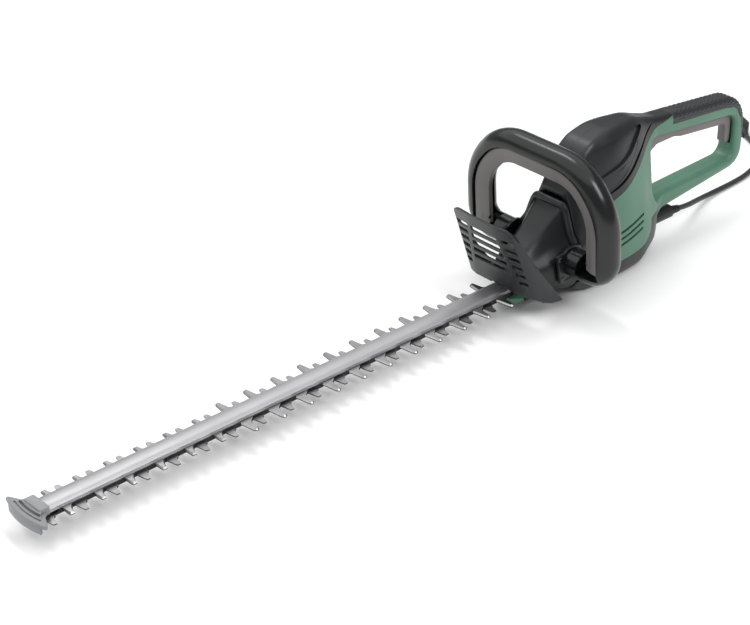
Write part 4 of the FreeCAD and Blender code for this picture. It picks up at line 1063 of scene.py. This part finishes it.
def tip_guard():
    """Crescent with a rolled front lip, two curved grooves, and a neck over the bar's end."""
    low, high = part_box("tip_guard")
    z0 = BLADE_Z + 0.1 + BLADE_THICK + 0.3
    half = high.y / MM
    back = high.x / MM
    front = low.x / MM

    def arc(reach, depth, count=24):
        return [(front + depth + 6.0 * (reach * t) ** 2 / half ** 2, reach * t) for t in np.linspace(1.0,
                                                                                                     -1.0,
                                                                                                     count)]

    rear = [(front + 9.0, -half), (front + 13.0, -29.0), (front + 17.0, -20.0), (back - 5.0, -15.4),
            (back, -14.9),
            (back, 14.9), (back - 5.0, 15.4), (front + 17.0, 20.0), (front + 13.0, 29.0), (front + 9.0, half)]
    fan = bevelled(prism("tip", arc(half, 0.0) + rear, "z", z0, z0 + 5.0), 1.4, 4, 50.0)
    neck = bevelled(prism("tip_neck", round_outline([(back - 13, -14.9), (back, -14.9), (back, 14.9),
                                                     (back - 13, 14.9)],
                                                    [3, 2, 2, 3], 5), "z", z0 + 0.5, high.z / MM), 1.2, 3,
                    50.0)
    ramp = sweep("ramp", [[mm(front + 8.5, -24, z0 + 1), mm(front + 8.5, 24, z0 + 1),
                           mm(front + 8.5, 24, z0 + 4.9),
                           mm(front + 8.5, -24, z0 + 4.9)],
                          [mm(back - 11, -14.8, z0 + 1), mm(back - 11, 14.8, z0 + 1),
                           mm(back - 11, 14.8, high.z / MM - 0.6), mm(back - 11, -14.8, high.z / MM - 0.6)]])
    lip_line = arc(29.0, 0.0) + [(x + 3.0, y) for x, y in reversed(arc(29.0, 0.0))]
    lip = bevelled(prism("lip", lip_line, "z", low.z / MM, z0 + 1.0), 0.8, 3, 50.0)
    join_shapes(fan, neck, ramp, lip)
    for depth, wide in ((4.6, 2.2), (9.0, 2.6)):
        reach = half - 6.0 - depth * 1.2
        line = arc(reach, depth) + [(x + wide, y * 0.96) for x, y in reversed(arc(reach, depth))]
        cut(fan, prism("groove", line, "z", z0 + 3.6, z0 + 14.0))
    x0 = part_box("support_bar")[0].x / MM
    bar_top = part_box("support_bar")[1].z / MM
    cut(fan, block("bar_room", x0, back + 2, -12.65, 12.65, z0 - 1, bar_top + 0.1))
    return done(fan, "tip_plastic", "root", "tip_guard", angle=35.0)


# ---- front handle and its lever --------------------------------------------------------------------
HOOP_LEAN = math.radians(4.0)
HOOP_HALF = 104.0
HOOP_RISE = 130.0
HOOP_SIDE = 82.0
CROWN_HALF = 63.0


def leaning(points):
    """Points (n, y, s) of the leaning hoop's own frame, placed in the tool's frame."""
    c, s = math.cos(HOOP_LEAN), math.sin(HOOP_LEAN)
    return [mm(HOOP_X + n * c - up * s, y, HOOP_Z + n * s + up * c) for n, y, up in points]


def inset_corner(a, b, c, d):
    u = (Vector(b) - Vector(a)).normalized()
    v = (Vector(c) - Vector(b)).normalized()
    nu, nv = Vector((u.y, -u.x)), Vector((v.y, -v.x))
    middle = nu + nv
    return Vector(b) + middle * (2.0 * d / middle.length_squared)


def hoop_edge(inset, foot=-40.0, steps=12):
    """Open outline of the hoop from the near foot over the crown to the far foot, moved inwards."""
    points = [(-HOOP_HALF, foot), (-HOOP_HALF, HOOP_SIDE), (-CROWN_HALF, HOOP_RISE), (CROWN_HALF, HOOP_RISE),
              (HOOP_HALF, HOOP_SIDE), (HOOP_HALF, foot)]
    n = len(points)
    moved = [inset_corner(points[i - 1], points[i], points[(i + 1) % n], inset) for i in range(n)]
    moved[0].y = moved[-1].y = foot
    radii = [0, 80.0 - inset, 62.0 - inset, 62.0 - inset, 80.0 - inset, 0]
    return round_outline([tuple(p) for p in moved], radii, steps)


def along_tube(name, path, r, count=40):
    rings = []
    n = len(path)
    side = Vector((1, 0, 0))
    for i, p in enumerate(path):
        run = (path[min(i + 1, n - 1)] - path[max(i - 1, 0)]).normalized()
        side = (side - run * side.dot(run)).normalized()
        other = run.cross(side)
        rings.append(ring_at(p, side, other, r, count))
    return sweep(name, rings)


def swept_profile(name, profile, foot, steps=18):
    """Strip along the hoop: profile is (n, inset) round its section."""
    lines = [hoop_edge(inset, foot, steps) for n, inset in profile]
    rings = []
    for i in range(len(lines[0])):
        rings.append(leaning([(n, line[i].x, line[i].y) for (n, inset), line in zip(profile, lines)]))
    return sweep(name, rings)


def front_handle():
    start = 46.0
    points = [(-start, 0.0), (-HOOP_HALF, 0.0), (-HOOP_HALF, HOOP_SIDE), (-CROWN_HALF, HOOP_RISE),
              (CROWN_HALF, HOOP_RISE), (HOOP_HALF, HOOP_SIDE), (HOOP_HALF, 0.0), (start, 0.0)]
    line = round_outline(points, [0, 24, 80, 62, 62, 80, 24, 0], 14)
    tube = along_tube("front_hoop", leaning([(0.0, p.x, p.y) for p in line]), HOOP_R, 56)
    room = swept_profile("lever_groove", [(-27.0, 0.4), (4.5, 0.4), (4.5, 53.0), (-27.0, 53.0)], -3.0)
    cut(tube, cut(room, block("stubs", 140, 260, -70, 70, 30, 102)))
    for side in (-1, 1):
        pin = leaning([(-9.5, side * 92.0, 14.0)])[0] / MM
        cut(tube, tube_y("pin_room", 2.5, pin.y - 12, pin.y + 12, pin.x, pin.z, 32))
    return done(tube, "handle_plastic", "root", "front_handle", angle=35.0)


def front_pins():
    pins = []
    for side in (-1, 1):
        middle = leaning([(-9.5, side * 92.0, 14.0)])[0]
        pins.append(lathe("pin", [(-10.4, 2.1), (-10.1, 2.5), (10.1, 2.5), (10.4, 2.1)], middle,
                          Vector((0, 1, 0)), 32))
    piece = merged(*pins)
    piece.name = "front_pins"
    return done(piece, "zinc_steel", "root", "front_lever_pins")


def front_lever():
    profile = [(-4.0, 1.8), (-4.6, 1.2), (-12.6, 1.2), (-14.4, 2.2), (-15.0, 3.6), (-14.2, 11.0),
               (-12.2, 18.0),
               (-10.6, 22.2), (-9.8, 22.8), (-4.6, 22.8), (-4.0, 22.2)]
    lever = swept_profile("front_bail", profile, 6.0, 20)
    for side in (-1, 1):
        pin = leaning([(-9.5, side * 92.0, 14.0)])[0]
        x, y, z = pin.x / MM, pin.y / MM, pin.z / MM
        cut(lever, tube_y("pin_room", 2.55, y - 20, y + 20, x, z, 32))
        inner, outer = sorted((side * 91.0, side * 97.0))
        cut(lever, tube_y("spring_room", 4.4, inner, outer, x, z, 32))
    return done(lever, "lever_plastic", "front_lever", "front_lever", angle=22.0)


# ---- hand guard ------------------------------------------------------------------------------------
GUARD_LOW = 18.0
GUARD_HIGH = 140.0
GUARD_HALF = 57.0
GUARD_THICK = 3.0


def guard_line(z, back):
    """Right-hand half of the guard at a height: front facet, ridge, cheek and rear edge."""
    down = (GUARD_HIGH - z) / (GUARD_HIGH - GUARD_LOW)
    front = 89.0 + (GUARD_HIGH - z) * 0.375 + back
    ridge = 20.0 + 24.0 * down
    return [(front - 0.4, 0.0), (front - 0.2, ridge - 2.0), (front + 0.5, ridge + 1.5),
            (front + 2.6, GUARD_HALF - 11.0 + 4.0 * down), (front + 4.6, GUARD_HALF - 6.5 + 3.6 * down),
            (front + 8.5, GUARD_HALF - 2.6 + 2.2 * down), (front + 12.0, GUARD_HALF - 0.8 + 0.6 * down),
            (front + 10.0 + 35.0 * down + 4.0, GUARD_HALF)]


def guard_skin(name, front, back):
    rings = []
    for z in np.linspace(GUARD_LOW, GUARD_HIGH, 42):
        near = guard_line(z, front)
        far = [(x, y - (back - front) * k) for (x, y), k in
               zip(guard_line(z, back), (0.0, 0.05, 0.15, 0.3, 0.6, 0.9, 1.0, 1.0))]
        far[-1] = (near[-1][0], near[-1][1] - (back - front))
        ring = [mm(x, -y, z) for x, y in reversed(near)] + [mm(x, y, z) for x, y in near[1:]]
        ring += [mm(x, y, z) for x, y in reversed(far)] + [mm(x, -y, z) for x, y in far[1:]]
        rings.append(ring)
    return sweep(name, rings)


def guard():
    shield = guard_skin("guard", 0.0, GUARD_THICK)
    edge = [(60, 141), (96, 141), (99, 137), (104, 124), (112, 110), (122, 96), (136, 77), (150, 58),
            (166, 38),
            (180, 20.5), (180.5, 19), (161, 22), (146, 28), (134, 36), (60, 36)]
    keep(shield, prism("side_cut", edge, "y", -70, 70))
    face = round_outline([(-60, 10), (-60, 112), (-46, 140), (46, 140), (60, 112), (60, 10)],
                         [0, 22, 16, 16, 22, 0], 8)
    keep(shield, prism("face_cut", face, "x", 50, 210))
    bar_low, bar_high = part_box("support_bar")
    z_bar = bar_low.z / MM
    cut(shield, block("notch", 100, 200, -37, 37, 0, z_bar + 0.5),
        block("bar_room", 100, 200, -13.5, 13.5, 0, z_bar + 9.0))
    for i in range(6):
        z = 118.0 - 12.0 * i
        ridge = 20.0 + 24.0 * (GUARD_HIGH - z) / (GUARD_HIGH - GUARD_LOW)
        if i < 5:
            slot = round_outline([(-ridge + 3, z - 3.6), (ridge - 3, z - 3.6), (ridge - 3, z + 3.6),
                                  (-ridge + 3, z + 3.6)], 2.2, 4)
            cut(shield, prism("slot", slot, "x", 60, 160))
        for side in (-1, 1):
            y0, y1 = sorted((side * (ridge + 3.5), side * (GUARD_HALF - 9.0 + 0.06 * (118.0 - z))))
            slot = round_outline([(y0, z - 3.4), (y1, z - 3.4), (y1, z + 3.4), (y0, z + 3.4)], 2.2, 4)
            cut(shield, prism("slot", slot, "x", 60, 200))
    tabs = []
    for side in (-1, 1):
        y0, y1 = sorted((side * 17.0, side * 21.0))
        tabs.append(block("tab", 126.0, HEAD_X, y0, y1, z_bar + 11.0, 56.0))
    merged(shield, *tabs)
    bevelled(shield, 0.5, 2, 50.0)
    return done(shield, "cover_plastic", "root", "hand_guard", angle=40.0)


# ---- nose ------------------------------------------------------------------------------------------
PLATE = [(176.0, 76.0), (217.5, 80.0), (217.5, 37.0), (183.0, 36.0)]
PLATE_SCREWS = [(181.0, 71.0), (187.0, 41.0)]


COLLAR_X = 212.0
COLLAR_R = 5.0
COLLAR_LOW = 78.0


def nose():
    outer = remeshed(loft("nose", HEAD), VOXEL, 3)
    inner = loft("nose_hollow", HEAD + [(HEAD[-1][0] + OPEN_REACH, HEAD[-1][1])], WALL)
    keep(inner, block("room", HEAD_X + WALL, 230, -80, 80, 0, 200))
    cut(outer, inner, block("blade_slot", HEAD_X - 5, HEAD_X + 8, -15, 15, 22.0, 29.7),
        block("bar_slot", HEAD_X - 5, HEAD_X + 8, -13, 13, 23.0, 38.4))
    for side in (-1, 1):
        y0, y1 = sorted((side * 46.0, side * 80.0))
        cut(outer, prism("plate_room", round_outline(PLATE, 2.0), "y", y0, y1),
            tube_y("stub_room", HOOP_R + 2.6, y0, y1, HOOP_X, HOOP_Z))
    rows = [section(s[1], 0.0, 80) for s in HEAD]
    ring = [p for p in smooth_rows([s[0] for s in HEAD], rows, [COLLAR_X])[0] if p[1] > COLLAR_LOW]
    path = [mm(COLLAR_X, w, z) for w, z in ring] + [mm(COLLAR_X, -w, z) for w, z in ring[-2::-1]]
    collar = along_tube("collar", path, COLLAR_R, 32)
    merged(outer, collar)
    return done(outer, "cover_plastic", "root", "gear_housing", angle=40.0)


def side_plates():
    for side, node in ((-1, "side_plate_left"), (1, "side_plate_right")):
        y0, y1 = sorted((side * 46.0, side * 50.0))
        plate = prism("plate" + ("_near" if side < 0 else "_far"), round_outline(PLATE, 2.0), "y", y0, y1)
        join_shapes(plate, tube_y("flange", HOOP_R + 2.5, y0, y1, HOOP_X, HOOP_Z, 72))
        bevelled(plate, 0.7, 2, 50.0)
        d0, d1 = sorted((side * 49.2, side * 51.0))
        pocket = [(p[0] * 0.86 + 198 * 0.14, p[1] * 0.86 + 57 * 0.14) for p in PLATE]
        recess = prism("pocket", round_outline(pocket, 3.0), "y", d0, d1)
        cut(recess, tube_y("ring", HOOP_R + 2.6, d0 - 1, d1 + 1, HOOP_X, HOOP_Z, 72))
        cut(plate, recess, tube_y("hole", HOOP_R + 0.1, y0 - 1, y1 + 1, HOOP_X, HOOP_Z, 72))
        for x, z in PLATE_SCREWS:
            cut(plate, tube_y("screw_hole", 1.9, y0 - 1, y1 + 1, x, z, 24))
        done(plate, "black_plastic", "root", node, angle=35.0)


def plate_screws():
    heads = []
    for side in (-1, 1):
        for x, z in PLATE_SCREWS:
            out = Vector((0, side, 0))
            screw = lathe("screw", [(-4.0, 1.8), (-0.7, 1.8), (-0.7, 3.4), (0.3, 3.4), (0.9, 2.9),
                                    (1.1, 2.0), (1.15, 0.05)],
                          mm(x, side * 50.0, z), out, 32)
            for wide, tall in ((2.2, 0.45), (0.45, 2.2)):
                y0, y1 = sorted((side * 50.3, side * 52.0))
                cut(screw, block("cross", x - wide, x + wide, y0, y1, z - tall, z + tall))
            heads.append(screw)
    piece = merged(*heads)
    piece.name = "nose_screws"
    return done(piece, "zinc_steel", "root", "side_plate_screws", angle=35.0)


# ---- soft grip -------------------------------------------------------------------------------------
RELIEF_HIGH = 0.6


def grip_path():
    """Points along the handle's back, from the grip's front to its foot."""
    outline = handle_outline(0.0)
    path = [(GRIP_FRONT_X + 1.2,
             grip_z(GRIP_FRONT_X + 1.2))] + [tuple(p) for p in outline if p[0] > GRIP_FRONT_X + 2.0]
    fine = []
    for a, b in zip(path, path[1:]):
        count = max(1, int(math.dist(a, b) / 0.6))
        fine += [(a[0] + (b[0] - a[0]) * k / count, a[1] + (b[1] - a[1]) * k / count) for k in range(count)]
    return [p for p in fine if p[1] > 62.5 or p[0] < 540.0]


def grip_depth_at(x, z):
    if z > 150.0:
        return 13.5 - max(0.0, x - 525.0) * 0.06
    return float(np.interp(z, [62.0, 100.0, 128.0, 150.0], [4.6, 5.6, 9.0, 12.0]))


def rim(depth, half, round_r):
    """Half width of the handle at a depth below its back."""
    if depth >= round_r:
        return half
    return half - round_r + math.sqrt(max(round_r ** 2 - (round_r - depth) ** 2, 0.0))


def grip():
    path = grip_path()
    rings, travelled = [], 0.0
    count = 45
    for i, p in enumerate(path):
        a, b = path[max(i - 3, 0)], path[min(i + 3, len(path) - 1)]
        run = (Vector(b) - Vector(a)).normalized()
        inward = Vector((run.y, -run.x))
        travelled += math.dist(p, path[max(i - 1, 0)])
        limit = grip_depth_at(*p)
        profile = [(0.0, y) for y in np.linspace(0.0, HANDLE_HALF - HANDLE_ROUND, 8)]
        profile += [(d, rim(d, HANDLE_HALF, HANDLE_ROUND)) for d in
                    [HANDLE_ROUND * (1 - math.cos(t)) for t in np.linspace(0.12, math.pi / 2,
                                                                           12)] if d < limit]
        profile += [(limit, rim(limit, HANDLE_HALF, HANDLE_ROUND))]
        lengths = [0.0]
        for q, r in zip(profile, profile[1:]):
            lengths.append(lengths[-1] + math.dist(q, r))
        even = np.linspace(0.0, lengths[-1], count)
        depth = np.interp(even, lengths, [q[0] for q in profile])
        wide = np.interp(even, lengths, [q[1] for q in profile])
        end = min(travelled, 1.4) / 1.4
        outer, inner = [], []
        for k in range(count):
            s, t = travelled / 9.0, even[k] / 6.2
            edge = min(0.5 - abs(((s + t) % 1.0) - 0.5), 0.5 - abs(((s - t) % 1.0) - 0.5))
            scale = RELIEF_HIGH * min(1.0, edge / 0.3)
            inside_rim = (lengths[-1] - even[k] - 3.0) / 1.5
            field = min(1.0, max(0.0, (travelled - 9.0) / 2.0)) * min(1.0, max(0.0, inside_rim))
            sink = (RELIEF_HIGH - scale) * field + (1.0 - end) * 0.6
            tilt = math.atan2(max(0.0, HANDLE_ROUND - depth[k]),
                              1e-6 + max(0.0, wide[k] - HANDLE_HALF + HANDLE_ROUND))
            outer.append((depth[k] + sink * math.sin(tilt), wide[k] - sink * math.cos(tilt)))
            inner.append((depth[k] + (GRIP_THICK - 0.1) * math.sin(tilt),
                          wide[k] - (GRIP_SIDE - 0.1) * math.cos(tilt)))

        def place(d, y):
            return mm(p[0] + inward.x * d, y, p[1] + inward.y * d)

        ring = [place(d, -y) for d, y in reversed(outer)] + [place(d, y) for d, y in outer[1:]]
        ring += [place(d, y) for d, y in reversed(inner)] + [place(d, -y) for d, y in inner[1:]]
        rings.append(ring)
    piece = sweep("soft_grip", rings)
    return done(piece, "grip_rubber", "root", "rear_grip", angle=50.0)


# ---- rear lever ------------------------------------------------------------------------------------
SPRING_WIRE = 0.55
SPRING_TURNS = 5


def lever_top_z(x):
    return 162.0 - (x - 400.0) * 0.113


def rear_lever():
    leg_back = REAR_X - REAR_BAR - 1.5
    leg_front = leg_back - 10.5
    points = [(383.0, 160.0), (400.0, lever_top_z(400.0)), (leg_back, lever_top_z(leg_back)),
              (leg_back, 96.0),
              (leg_front, 96.0), (leg_front, 124.0), (450.0, 135.0), (436.0, 139.0), (402.0, 139.0),
              (384.0, 128.0)]
    lever = prism("rear_trigger", round_outline(points, [3, 0, 3, 3, 3, 6, 12, 12, 10, 3], 8), "y", -6.5, 6.5)
    bevelled(lever, 1.6, 4, 50.0)
    cut(lever, tube_y("pin_room", 2.55, -10, 10, 393.0, 153.0, 32))
    return done(lever, "lever_plastic", "rear_lever", "rear_lever", angle=40.0)


def rear_pin():
    pin = lathe("rear_pin", [(-6.4, 2.2), (-6.2, 2.5), (6.2, 2.5), (6.4, 2.2)], mm(393, 0, 153),
                Vector((0, 1, 0)), 32)
    return done(pin, "zinc_steel", "root", "rear_lever_pin")


def rear_spring():
    """Coil over the rear lever."""
    low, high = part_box("rear_lever_spring")
    x, r, z0, z1 = (low.x + high.x) / 2 / MM, (high.y - low.y) / 2 / MM - SPRING_WIRE, low.z / MM, high.z / MM
    path = []
    for k in range(SPRING_TURNS * 20 + 1):
        t = k / (SPRING_TURNS * 20)
        turn = 2.0 * math.pi * SPRING_TURNS * t
        path.append(mm(x + r * math.cos(turn), r * math.sin(turn),
                       z0 + SPRING_WIRE + (z1 - z0 - 2 * SPRING_WIRE) * t))
    coil = along_tube("rear_spring", path, SPRING_WIRE, 10)
    done(coil, "hard_steel", "root", "rear_lever_spring")
    tuple(mm(x, 0.0, z1))
    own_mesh(coil)


# ---- tongue ----------------------------------------------------------------------------------------
def tongue():
    low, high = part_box("lower_housing")
    points = [(HEAD_X - 16, -12), (HEAD_X - 11, -20), (HEAD_X, -22), (HEAD_X, 22), (HEAD_X - 11, 20),
              (HEAD_X - 16, 12)]
    piece = prism("tongue", round_outline(points, [4, 6, 0, 0, 6, 4], 6), "z", low.z / MM, high.z / MM)
    return done(bevelled(piece, 1.2, 3, 50.0), "green_plastic", "root", "lower_housing", angle=40.0)


# ---- carried-over parts ----------------------------------------------------------------------------
def carry_over():
    """Gives every part carried over from the frame the finish of its slot."""
    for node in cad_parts.values():
        for i, given in enumerate(node.data.materials):
            tag = given.name.split(".")[0]
            node.data.materials[i] = FINISH.get(tag, FINISH["inner_plastic"])


def floor():
    piece = new_piece("floor", [(-FLOOR_HALF, -FLOOR_HALF, -FLOOR_DROP),
                                (FLOOR_HALF, -FLOOR_HALF, -FLOOR_DROP),
                                (FLOOR_HALF, FLOOR_HALF, -FLOOR_DROP),
                                (-FLOOR_HALF, FLOOR_HALF, -FLOOR_DROP)], [(0, 1, 2, 3)])
    piece.data.materials.append(pale_floor())


camera()
studio()
floor()
carry_over()
lead_piece = lead()
sleeve = relief()
plug_body, plug_pins = plug()
tuple(mm(*ROUTE[0]))
front_handle()
front_lever()
front_pins()
guard()
nose()
side_plates()
plate_screws()
support_bar()
tip_guard()
cutter()
rear_lever()
rear_spring()
rear_pin()
grip()
tongue()
body_pieces()
